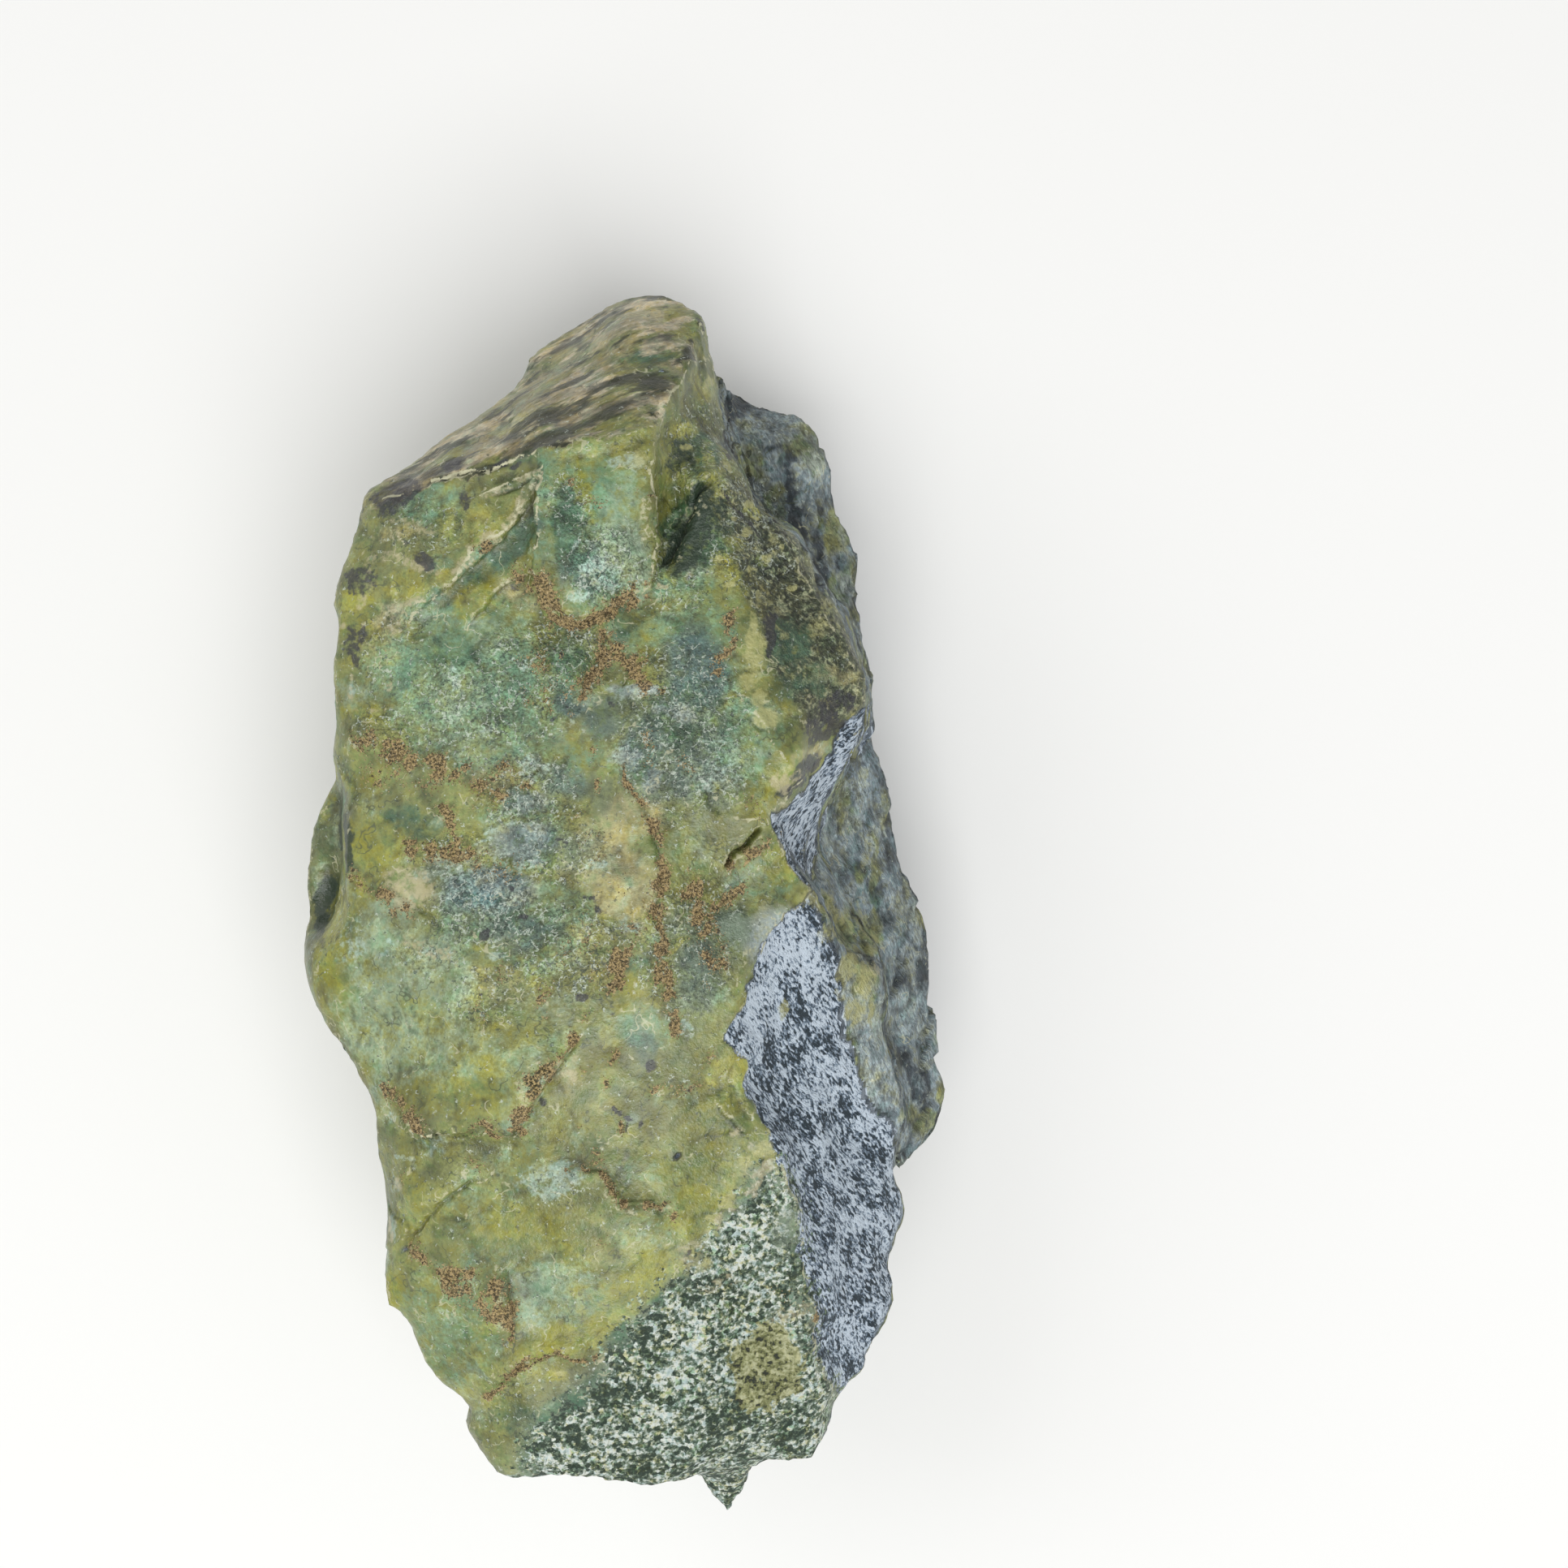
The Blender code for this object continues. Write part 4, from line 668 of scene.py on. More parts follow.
# Dry soil: strength, half width and path.
SOIL: list[Line] = [
    (1, 1.01, [(458, 918), (480, 928), (505, 935), (530, 944), (550, 950)]),
    (0.45, 1.87, [(470, 935), (510, 955), (545, 960)]),
    (0.8, 0.5, [(558, 945), (572, 940)]),
    (0.5, 0.65, [(450, 955), (470, 970)]),
    (0.7, 0.86, [(597, 965), (612, 975)]),
    (0.7, 0.58, [(622, 950), (640, 962), (650, 976)]),
    (0.9, 0.43, [(543, 992), (556, 1010), (562, 1028), (572, 1046)]),
    (0.6, 0.36, [(588, 995), (600, 1004)]),
    (1, 0.72, [(508, 1043), (530, 1050), (560, 1054), (585, 1056)]),
    (0.4, 1.15, [(580, 1060), (610, 1066), (628, 1070)]),
    (0.9, 0.5, [(437, 1078), (455, 1092), (475, 1104), (500, 1124)]),
    (1, 0.58, [(663, 708), (675, 735), (686, 765)]),
    (1, 0.65, [(686, 768), (715, 765), (745, 756), (770, 740), (790, 729)]),
    (0.9, 0.36, [(590, 672), (600, 675)]),
    (0.7, 0.58, [(640, 705), (655, 722), (680, 740)]),
    (0.95, 0.79, [(748, 790), (740, 815), (730, 838), (718, 852), (708, 868)]),
    (0.5, 1.15, [(660, 815), (665, 835), (668, 860)]),
    (0.35, 1.58, [(680, 810), (700, 825), (715, 830)]),
    (0.95, 0.79, [(752, 800), (775, 806), (785, 822), (795, 842)]),
    (0.7, 0.36, [(800, 845), (812, 852)]),
    (0.9, 0.65, [(905, 765), (898, 785), (890, 805), (884, 822)]),
    (0.8, 0.36, [(733, 925), (735, 945), (738, 968)]),
    (0.6, 0.43, [(797, 905), (803, 925), (800, 940)]),
    (0.5, 0.5, [(842, 935), (848, 948)]),
    (0.9, 0.32, [(765, 948), (775, 970), (788, 988), (797, 1003)]),
    (1, 0.43, [(799, 1005), (806, 1025), (811, 1050), (815, 1075), (816, 1095)]),
    (1, 0.58, [(816, 1080), (808, 1108), (802, 1128), (808, 1150), (815, 1168)]),
    (0.95, 0.58, [(815, 1160), (816, 1185), (820, 1212)]),
    (0.5, 0.94, [(795, 1130), (780, 1145), (765, 1160)]),
    (1, 0.65, [(775, 1150), (765, 1170), (757, 1190), (757, 1225)]),
    (0.4, 1.15, [(745, 1175), (735, 1195), (745, 1215)]),
    (0.4, 0.86, [(735, 1170), (715, 1165)]),
    (0.9, 0.4, [(824, 1225), (828, 1245), (832, 1270)]),
    (1, 0.94, [(860, 1092), (856, 1110), (862, 1130), (874, 1150)]),
    (0.9, 0.65, [(872, 1118), (890, 1110), (915, 1096)]),
    (0.9, 0.86, [(872, 1140), (878, 1160), (880, 1180)]),
    (0.35, 0.72, [(880, 1190), (870, 1220), (850, 1225)]),
    (0.5, 0.58, [(700, 1165), (690, 1185), (672, 1205), (666, 1245)]),
    (1, 0.4, [(722, 1258), (708, 1280), (692, 1298), (676, 1318)]),
    (1, 0.58, [(676, 1316), (660, 1332), (648, 1348), (640, 1375)]),
    (0.8, 0.32, [(762, 1298), (752, 1318), (745, 1332)]),
    (0.55, 0.5, [(800, 1343), (830, 1346), (852, 1342), (870, 1334), (882, 1322)]),
    (0.4, 0.36, [(690, 1310), (715, 1312), (730, 1318)]),
    (0.5, 0.58, [(615, 1195), (618, 1206)]),
    (0.4, 0.43, [(588, 1240), (600, 1250)]),
    (0.35, 0.43, [(660, 1240), (662, 1255)]),
    (0.9, 0.43, [(478, 1342), (490, 1355), (505, 1370), (518, 1386)]),
    (1, 0.32, [(500, 1374), (515, 1390), (524, 1400)]),
    (1, 0.5, [(590, 1390), (602, 1388), (612, 1392)]),
    (1, 0.43, [(632, 1388), (642, 1394)]),
    (0.45, 0.72, [(718, 1385), (728, 1400), (736, 1418)]),
    (0.9, 0.29, [(764, 1383), (766, 1402)]),
    (0.8, 0.29, [(700, 1442), (715, 1442), (728, 1450)]),
    (0.9, 0.36, [(733, 1440), (748, 1455), (762, 1472), (772, 1484)]),
    (0.9, 0.32, [(784, 1485), (805, 1486), (826, 1484), (827, 1506)]),
    (0.6, 0.25, [(740, 1488), (741, 1508), (743, 1530)]),
    (0.3, 0.65, [(748, 1540), (754, 1575)]),
    (0.5, 0.58, [(585, 1428), (590, 1434)]),
    (0.45, 0.58, [(595, 1500), (598, 1510)]),
    (0.4, 0.43, [(498, 1448), (504, 1454)]),
    (0.8, 0.43, [(512, 1532), (518, 1548), (532, 1562), (546, 1571)]),
    (0.6, 0.36, [(622, 1638), (632, 1650)]),
    (0.9, 0.4, [(603, 1720), (617, 1704), (632, 1688)]),
    (1, 0.43, [(632, 1688), (652, 1676), (672, 1670), (692, 1668), (730, 1676)]),
    (0.9, 0.58, [(905, 1068), (920, 1056), (935, 1045), (948, 1040)]),
    (0.35, 0.94, [(925, 990), (935, 1000)]),
    (0.3, 1.15, [(715, 1010), (725, 1030), (735, 1050)]),
    (0.35, 0.86, [(745, 1030), (770, 1040)]),
    (0.5, 0.58, [(745, 1088), (770, 1092)]),
    (0.6, 0.36, [(728, 618), (736, 620)]),
    (0.7, 0.29, [(700, 596), (706, 596)]),
    (0.5, 0.36, [(788, 610), (793, 614)]),
    (0.5, 0.58, [(722, 1130), (724, 1148)]),
    (0.3, 0.65, [(950, 1590), (990, 1600)]),
    (0.25, 0.94, [(600, 1750), (620, 1770)]),
    (0.5, 0.43, [(870, 1300), (868, 1320)]),
    (0.3, 0.65, [(470, 780), (490, 800)]),
    (0.7, 0.36, [(985, 1590), (1000, 1622)]),
    (1, 1, [(560, 1576), (585, 1583), (605, 1596), (620, 1614)]),
    (0.8, 0.45, [(626, 1618), (630, 1648)]),
]


def linear(hue: Enum | str) -> tuple[float, float, float, float]:
    """Turns an sRGB hex colour to linear light.

    Args:
        hue: A named colour, or six hex digits.

    Returns:
        Red, green, blue and an alpha of 1.
    """
    digits = hue.value if isinstance(hue, Enum) else hue
    parts = [int(digits[at : at + 2], 16) / 255.0 for at in (0, 2, 4)]
    light = [part / 12.92 if part <= 0.04045 else ((part + 0.055) / 1.055) ** 2.4 for part in parts]
    return (light[0], light[1], light[2], 1.0)


def ease(value: np.ndarray) -> np.ndarray:
    """A soft ramp from 0 to 1."""
    value = np.clip(value, 0.0, 1.0)
    return value * value * (3.0 - 2.0 * value)


def lumps(spots: np.ndarray, wave: float, seed: float, octaves: int = 1) -> np.ndarray:
    """Soft noise from about -1 to 1.

    Args:
        spots: Points, in millimetres.
        wave: Size of one lump, in millimetres.
        seed: Chooses the pattern.
        octaves: How many finer and finer layers it has.

    Returns:
        One value for each point.
    """
    shift = Vector((seed, 1.7 * seed, -0.6 * seed))
    if octaves == 1:
        return np.array([noise.noise(Vector(spot) + shift) for spot in (spots / wave).tolist()])
    places = (spots / wave).tolist()
    return np.array([noise.fractal(Vector(spot) + shift, 0.8, 2.0, octaves) for spot in places])


def facets(spots: np.ndarray, size: float, seed: float) -> np.ndarray:
    """Small flat facets that meet in low steps, as hackly stone breaks.

    Args:
        spots: Points, in millimetres.
        size: Size of one facet, in millimetres.
        seed: Chooses the pattern.

    Returns:
        A height from about -1 to 1 for each point.
    """
    noise.seed_set(BEND_SEED)
    shift = Vector((seed, -0.8 * seed, 1.3 * seed))
    heights = []
    for spot in (spots / size).tolist():
        place = Vector(spot) + shift
        place += 0.35 * noise.noise_vector(1.4 * place)
        middle = noise.voronoi(place)[1][0]
        tilt = noise.cell_vector(37.7 * middle) - Vector((0.5, 0.5, 0.5))
        heights.append(2.0 * tilt.dot(place - middle) + 0.4 * tilt.x)
    return np.array(heights)


def plotted(places: Sequence[Point2]) -> np.ndarray:
    """Where places of the drawing lie on the survey plane, in millimetres."""
    return np.array(DRAWING_CORNER) + np.array(places) * (DRAWING_STEP, -DRAWING_STEP)


def along_path(spots: np.ndarray, path: Sequence[Point2]) -> tuple[np.ndarray, np.ndarray, np.ndarray]:
    """Where flat points lie beside a path.

    Args:
        spots: Flat points, in millimetres.
        path: Corners of the path, on the drawing.

    Returns:
        The distance to the path, the side (1 on the left, -1 on the right) and how far along it is, from 0
        to 1.
    """
    nearest = np.full(len(spots), 1e9)
    side = np.zeros(len(spots))
    share_of_path = np.zeros(len(spots))
    corners = plotted(path)
    for index, (first, end) in enumerate(zip(corners, corners[1:])):
        run = end - first
        share = np.clip((spots - first) @ run / max(float(run @ run), 1e-9), 0.0, 1.0)
        away = spots - first - share[:, None] * run
        gap = np.hypot(away[:, 0], away[:, 1])
        closer = gap < nearest
        nearest[closer] = gap[closer]
        side[closer] = np.sign(run[0] * away[:, 1] - run[1] * away[:, 0])[closer]
        share_of_path[closer] = (index + share[closer]) / (len(path) - 1)
    return nearest, side, share_of_path


def inside_zone(spots: np.ndarray, outline: Sequence[Point2], edge: float) -> np.ndarray:
    """How far inside a closed outline flat points lie.

    Args:
        spots: Flat points, in millimetres.
        outline: Corners of the outline, on the drawing.
        edge: Width of the soft edge, in millimetres.

    Returns:
        0 outside and 1 inside, for each point.
    """
    rim = [*outline, outline[0]]
    gap, _, _ = along_path(spots, rim)
    crossings = np.zeros(len(spots), bool)
    corners = plotted(rim)
    for (x0, y0), (x1, y1) in zip(corners, corners[1:]):
        spans = (y0 > spots[:, 1]) != (y1 > spots[:, 1])
        height = (y1 - y0) if y1 != y0 else 1e-9
        crossings ^= spans & (spots[:, 0] < (x1 - x0) * (spots[:, 1] - y0) / height + x0)
    return ease(np.where(crossings, gap, -gap) / edge + 0.5)


def in_patch(spots: np.ndarray, mark: Mark) -> np.ndarray:
    """The weight of one patch at flat points: its strength at the middle, fading out past its rim.

    Args:
        spots: Flat points, in millimetres.
        mark: The patch.

    Returns:
        A weight from 0 to 1 for each point.
    """
    column, row, length, width, percent, *turn = mark
    angle = math.radians(sum(turn))
    du, dv = (spots - plotted([(column, row)])).T / DRAWING_STEP
    along = (du * math.cos(angle) + dv * math.sin(angle)) / length
    across = (-du * math.sin(angle) + dv * math.cos(angle)) / width
    return 0.01 * percent * ease((1.35 - np.hypot(along, across)) / 0.7)


def tapered(share: np.ndarray, steepness: float) -> np.ndarray:
    """Fades out towards both ends of a path, given how far along it each point is."""
    return ease(steepness * share) * ease(steepness * (1.0 - share))


def step_profile(gap: np.ndarray, side: np.ndarray, share: np.ndarray) -> np.ndarray:
    """A flake step: sharp at the lip, on the left of its edge, and fading behind it."""
    return tapered(share, 5.0) * (side > 0) * ease(1.0 - gap)


def ridge_profile(gap: np.ndarray, side: np.ndarray, share: np.ndarray) -> np.ndarray:
    """A ridge that is brought to an edge."""
    return tapered(share, 6.0) * np.clip(1.0 - gap, 0.0, 1.0)


def crack_profile(gap: np.ndarray, side: np.ndarray, share: np.ndarray) -> np.ndarray:
    """A crack that thins out towards both ends."""
    return tapered(share, 6.0) * ease(1.2 - gap)


def put_in_scene(name: str, data: bpy.types.ID) -> bpy.types.Object:
    """Makes an object of the data and puts it in the scene.

    Args:
        name: Its name.
        data: The mesh, light or camera that it holds.

    Returns:
        The object.
    """
    made = bpy.data.objects.new(name, data)
    bpy.context.scene.collection.objects.link(made)
    return made


def read_points(mesh: bpy.types.Mesh) -> np.ndarray:
    """Reads a mesh's vertex positions, in metres.

    Args:
        mesh: The mesh.

    Returns:
        One row for each vertex.
    """
    points = np.empty(len(mesh.vertices) * 3)
    mesh.vertices.foreach_get("co", points)
    return points.reshape(-1, 3)


def add_node(
    tree: Tree, kind: str, settings: dict | None = None, inputs: dict | Sequence | None = None
) -> bpy.types.Node:
    """Adds one node.

    Args:
        tree: The tree that gets it.
        kind: Blender's name for the kind of node.
        settings: Properties of the node.
        inputs: A value or the output that feeds it: by name or number, or for each socket in use in turn.

    Returns:
        The node.
    """
    node = tree.nodes.new(kind)
    for name, value in (settings or {}).items():
        setattr(node, name, value)
    if not isinstance(inputs, dict):
        in_use = [number for number, socket in enumerate(node.inputs) if socket.enabled]
        inputs = dict(zip(in_use, inputs or ()))
    for key, value in inputs.items():
        if isinstance(value, Socket):
            tree.links.new(value, node.inputs[key])
        else:
            node.inputs[key].default_value = value
    return node


@dataclass(frozen=True)
class Survey:
    """The point straight above the stone that its marks are placed from, and the plane that they lie on."""

    eye: tuple[float, float, float] = SURVEY_POINT
    plane: float = SURVEY_PLANE

    def flat(self, points: np.ndarray) -> np.ndarray:
        """The points as they are seen on the survey plane."""
        share = (self.eye[2] - self.plane) / (self.eye[2] - points[:, 2])
        return np.array(self.eye[:2]) + (points[:, :2] - np.array(self.eye[:2])) * share[:, None]

    def facing(self, points: np.ndarray, normals: np.ndarray) -> np.ndarray:
        """How squarely the skin faces the survey point.

        Args:
            points: Points on the skin, in millimetres.
            normals: The normals there.

        Returns:
            1 straight on, 0 edge on and below 0 turned away, for each point.
        """
        sight = np.array(self.eye) - points
        sight /= np.linalg.norm(sight, axis=1)[:, None]
        return np.einsum("ij,ij->i", sight, normals)


@dataclass
class StoneMap:
    """Where each mineral, zone and mark lies on the skin, one row for each vertex, in millimetres.

    Attributes:
        points: Vertex positions.
        normals: Vertex normals.
        survey: Where the marks are placed from.
        wander: How far the marks stray from their drawn lines, coarse and fine.
        turn_away: Facing below which the drawn marks end, and the width of that change.
    """

    points: np.ndarray
    normals: np.ndarray
    survey: Survey = field(default_factory=Survey)
    wander: tuple[float, float] = (1.1, 0.5)
    turn_away: tuple[float, float] = (0.04, 0.2)

    def __post_init__(self) -> None:
        """Places the vertices on the survey plane and works out the zones."""
        flat = self.survey.flat(self.points)
        coarse = [lumps(self.points, 5.0, seed) for seed in (3.1, 8.4)]
        fine = [lumps(self.points, 1.6, seed) for seed in (5.7, 9.9)]
        broad, narrow = self.wander
        self.strayed = flat + broad * np.column_stack(coarse) + narrow * np.column_stack(fine)
        self.near = flat + 0.4 * broad * np.column_stack(fine)
        start, width = self.turn_away
        self.shown = ease((self.survey.facing(self.points, self.normals) - start) / width)
        ragged = 0.5 + 0.7 * lumps(self.points, 2.4, 12.0, 4)
        self.zones = {}
        for zone, rim in ZONES.items():
            inside = inside_zone(self.near, rim, ZONE_EDGES[zone])
            self.zones[zone] = inside if zone in FRAYED else ease((1.6 * inside - 0.3 - ragged) / 0.4 + 0.5)
        self.blend_hidden_sides()

    def blend_hidden_sides(self) -> None:
        """Carries the zones on round the sides and the underside, where nothing is drawn."""
        lean = lumps(self.points, 16.0, 21.0)
        right = ease((self.normals[:, 0] + 0.5 * lean + 0.15) / 0.5)
        low = ease((-self.normals[:, 1] + 0.5 * lean - 0.45) / 0.3)
        down = ease((-self.normals[:, 2] + 0.35 * lean - 0.25) / 0.4)
        top = ease((self.normals[:, 1] + 0.4 * lean - 0.35) / 0.4)
        hidden = {
            Zone.LOBE_SIDE: right * (1 - down),
            Zone.MAIN_FLANK: right * down,
            Zone.SPECKLED: low,
            Zone.BROW: top * (1 - right),
            Zone.SHELF: (1 - right) * (1 - low) * (1 - top),
        }
        for zone, seen in self.zones.items():
            unseen = hidden.get(zone, np.zeros(len(seen)))
            self.zones[zone] = seen * self.shown + unseen * (1 - self.shown)

    def ground(self) -> np.ndarray:
        """The soft ground colour of each part of the skin, in linear light.

        Returns:
            Red, green and blue for each vertex.
        """
        zones = self.zones
        colour = np.tile(linear(Hue.OLIVE)[:3], (len(self.points), 1))
        for hue, weight in (
            (Hue.HORN, zones[Zone.SHELF]),
            (Hue.SUGAR, zones[Zone.GRAINED]),
            (Hue.SLATE, zones[Zone.LOBE_SIDE]),
            (Hue.FLANK, np.maximum(zones[Zone.MAIN_FLANK], zones[Zone.SMALL_FLANK])),
            (Hue.CHALK, zones[Zone.SPECKLED]),
        ):
            share = np.clip(weight, 0.0, 1.0)[:, None]
            colour = colour * (1 - share) + np.array(linear(hue)[:3]) * share
        return colour

    def hues(self) -> dict[Hue, np.ndarray]:
        """How strongly each mineral shows at each vertex. The finish breaks up the edges.

        Returns:
            A weight for each mineral at each vertex.
        """
        weights = {hue: np.zeros(len(self.points)) for hue in [*LAYERS, Hue.UMBER]}
        zones = self.zones
        lobe, brow, shelf, grained = (
            zones[zone] for zone in (Zone.LOBE_SIDE, Zone.BROW, Zone.SHELF, Zone.GRAINED)
        )
        dull = np.maximum.reduce([zones[Zone.MAIN_FLANK], zones[Zone.SMALL_FLANK], zones[Zone.SPECKLED]])
        waxy = np.clip(1 - lobe - dull - 0.6 * grained, 0.0, 1.0)
        for marks, spots, where in (
            (CLOUDS, self.strayed, waxy * (1 - 0.7 * brow)),
            (SMALL_MARKS, self.near, np.ones(len(self.points))),
            (BROW_MARKS, self.near, brow),
            (LOBE_MARKS, self.near, lobe),
        ):
            for hue, patches in marks.items():
                weights[hue] = np.maximum(weights[hue], self.marked(patches, spots) * where * self.shown)
        drift = lumps(self.points, 9.0, 2.2, 3)
        islands = lumps(self.points, 3.0, 6.1, 3)
        sides = waxy * (1 - self.shown)
        unseen = lobe * (1 - self.shown)
        grown = {
            Hue.SHADE: (0.55 * waxy + 0.3 * shelf) * ease(0.35 - 1.2 * drift - 0.9 * islands),
            Hue.YELLOW: 0.6 * (sides + 0.5 * waxy + 0.5 * shelf) * ease(0.1 + 1.2 * drift - 0.8 * islands),
            Hue.MINT: 0.5 * waxy * ease(1.5 * islands - 0.1),
            Hue.TEAL: 0.75 * (sides + 0.5 * shelf) * ease(0.2 - 1.6 * islands + 0.8 * drift),
            Hue.BLUE: 0.75 * sides * ease(1.9 * drift - 0.3),
            Hue.SAND: brow * 0.45,
            Hue.MOSS: unseen * ease(0.3 + 1.9 * drift),
            Hue.NIGHT: 0.75 * unseen * ease(-1.9 * islands - 0.1) + 0.4 * lobe * ease(-1.6 * islands - 0.2),
            Hue.FROST: 0.6 * lobe * ease(1.6 * islands - 0.1),
            Hue.CITRON: 0.45 * grained * ease(2.0 * islands - 0.4),
            Hue.BONE: 0.5 * sides * ease(2.4 * islands - 1.0),
        }
        for hue, weight in grown.items():
            weights[hue] = np.maximum(weights[hue], weight)
        return weights

    def hackle(self) -> np.ndarray:
        """How hackly the skin broke, from 0, glassy, to 1.

        Returns:
            One value for each vertex.
        """
        patchy = 0.5 + 0.8 * lumps(self.points, 4.0, 35.0, 2)
        unseen = 0.55 * (1 - self.shown) * ease(patchy)
        drawn = np.maximum(self.marked(HACKLY, self.strayed) * self.shown, 0.2 * ease(patchy))
        return np.maximum(drawn, unseen) * (1 - 0.8 * self.zones[Zone.BROW])

    def marked(self, marks: Sequence[Mark], spots: np.ndarray) -> np.ndarray:
        """The weight of the strongest of a set of patches.

        Args:
            marks: The patches.
            spots: Flat points, in millimetres.

        Returns:
            One weight for each point.
        """
        weight = np.zeros(len(spots))
        for mark in marks:
            weight = np.maximum(weight, in_patch(spots, mark))
        return weight

    def strongest(self, lines: Sequence[Line], profile: Profile) -> np.ndarray:
        """The strongest of a set of drawn lines at each vertex.

        Args:
            lines: The lines, which may cross.
            profile: How a line fades beside its path and along it.

        Returns:
            One value for each vertex.
        """
        best = np.zeros(len(self.points))
        for strength, half_width, path in lines:
            gap, side, share = along_path(self.near, path)
            best = np.maximum(best, strength * profile(gap / half_width, side, share))
        return best

    def soil(self) -> np.ndarray:
        """How much dry soil lies on the skin: up to 1 in the cracks, and thinning out beside them.

        Returns:
            One weight for each vertex.
        """
        patchy = np.clip(0.72 + 1.5 * lumps(self.points, 1.3, 31.0, 3), 0.05, 1.2)
        spread = 1.0 + 0.5 * lumps(self.points, 4.5, 32.0, 2)
        weight = self.strongest(SOIL, lambda gap, *_: np.clip(1.4 - 0.6 * gap / spread, 0.0, 1.0))
        return np.clip(weight * patchy, 0.0, 1.0) * self.shown

    def lips(self) -> np.ndarray:
        """Where a flake ends in a thin pale lip.

        Returns:
            One weight for each vertex, above one half within a lip.
        """
        patchy = np.clip(0.85 + 0.9 * lumps(self.points, 1.9, 33.0, 2), 0.2, 1.0)
        edges = [*LIPS, *((*EDGE_LIP, path) for _, _, path in [*STEPS, *RIDGES])]
        weight = self.strongest(edges, lambda gap, *_: np.clip(1.15 - 0.5 * gap, 0.0, 1.0))
        return weight * patchy * self.shown

    def flow(self) -> np.ndarray:
        """Coordinates that are squeezed along the streaks, so that a pattern is drawn out there.

        Returns:
            One row for each vertex, in metres.
        """
        squeezed = self.squeezed((0.25, -0.8, -0.5), 0.3)
        for zone, (heading, share) in STREAKS.items():
            chosen = self.zones[zone] * self.shown > 0.5
            if not chosen.any():
                continue
            normal = self.normals[chosen].mean(axis=0)
            along = (math.cos(math.radians(heading)), math.sin(math.radians(heading)))
            drop = -(normal[0] * along[0] + normal[1] * along[1]) / max(normal[2], 0.2)
            squeezed[chosen] = self.squeezed((*along, drop), share)[chosen]
        return squeezed * MM

    def squeezed(self, along: tuple[float, float, float], share: float) -> np.ndarray:
        """The points, with only a share of their run along one direction left."""
        line = np.array(along) / np.linalg.norm(along)
        return self.points - (1 - share) * np.outer(self.points @ line, line)


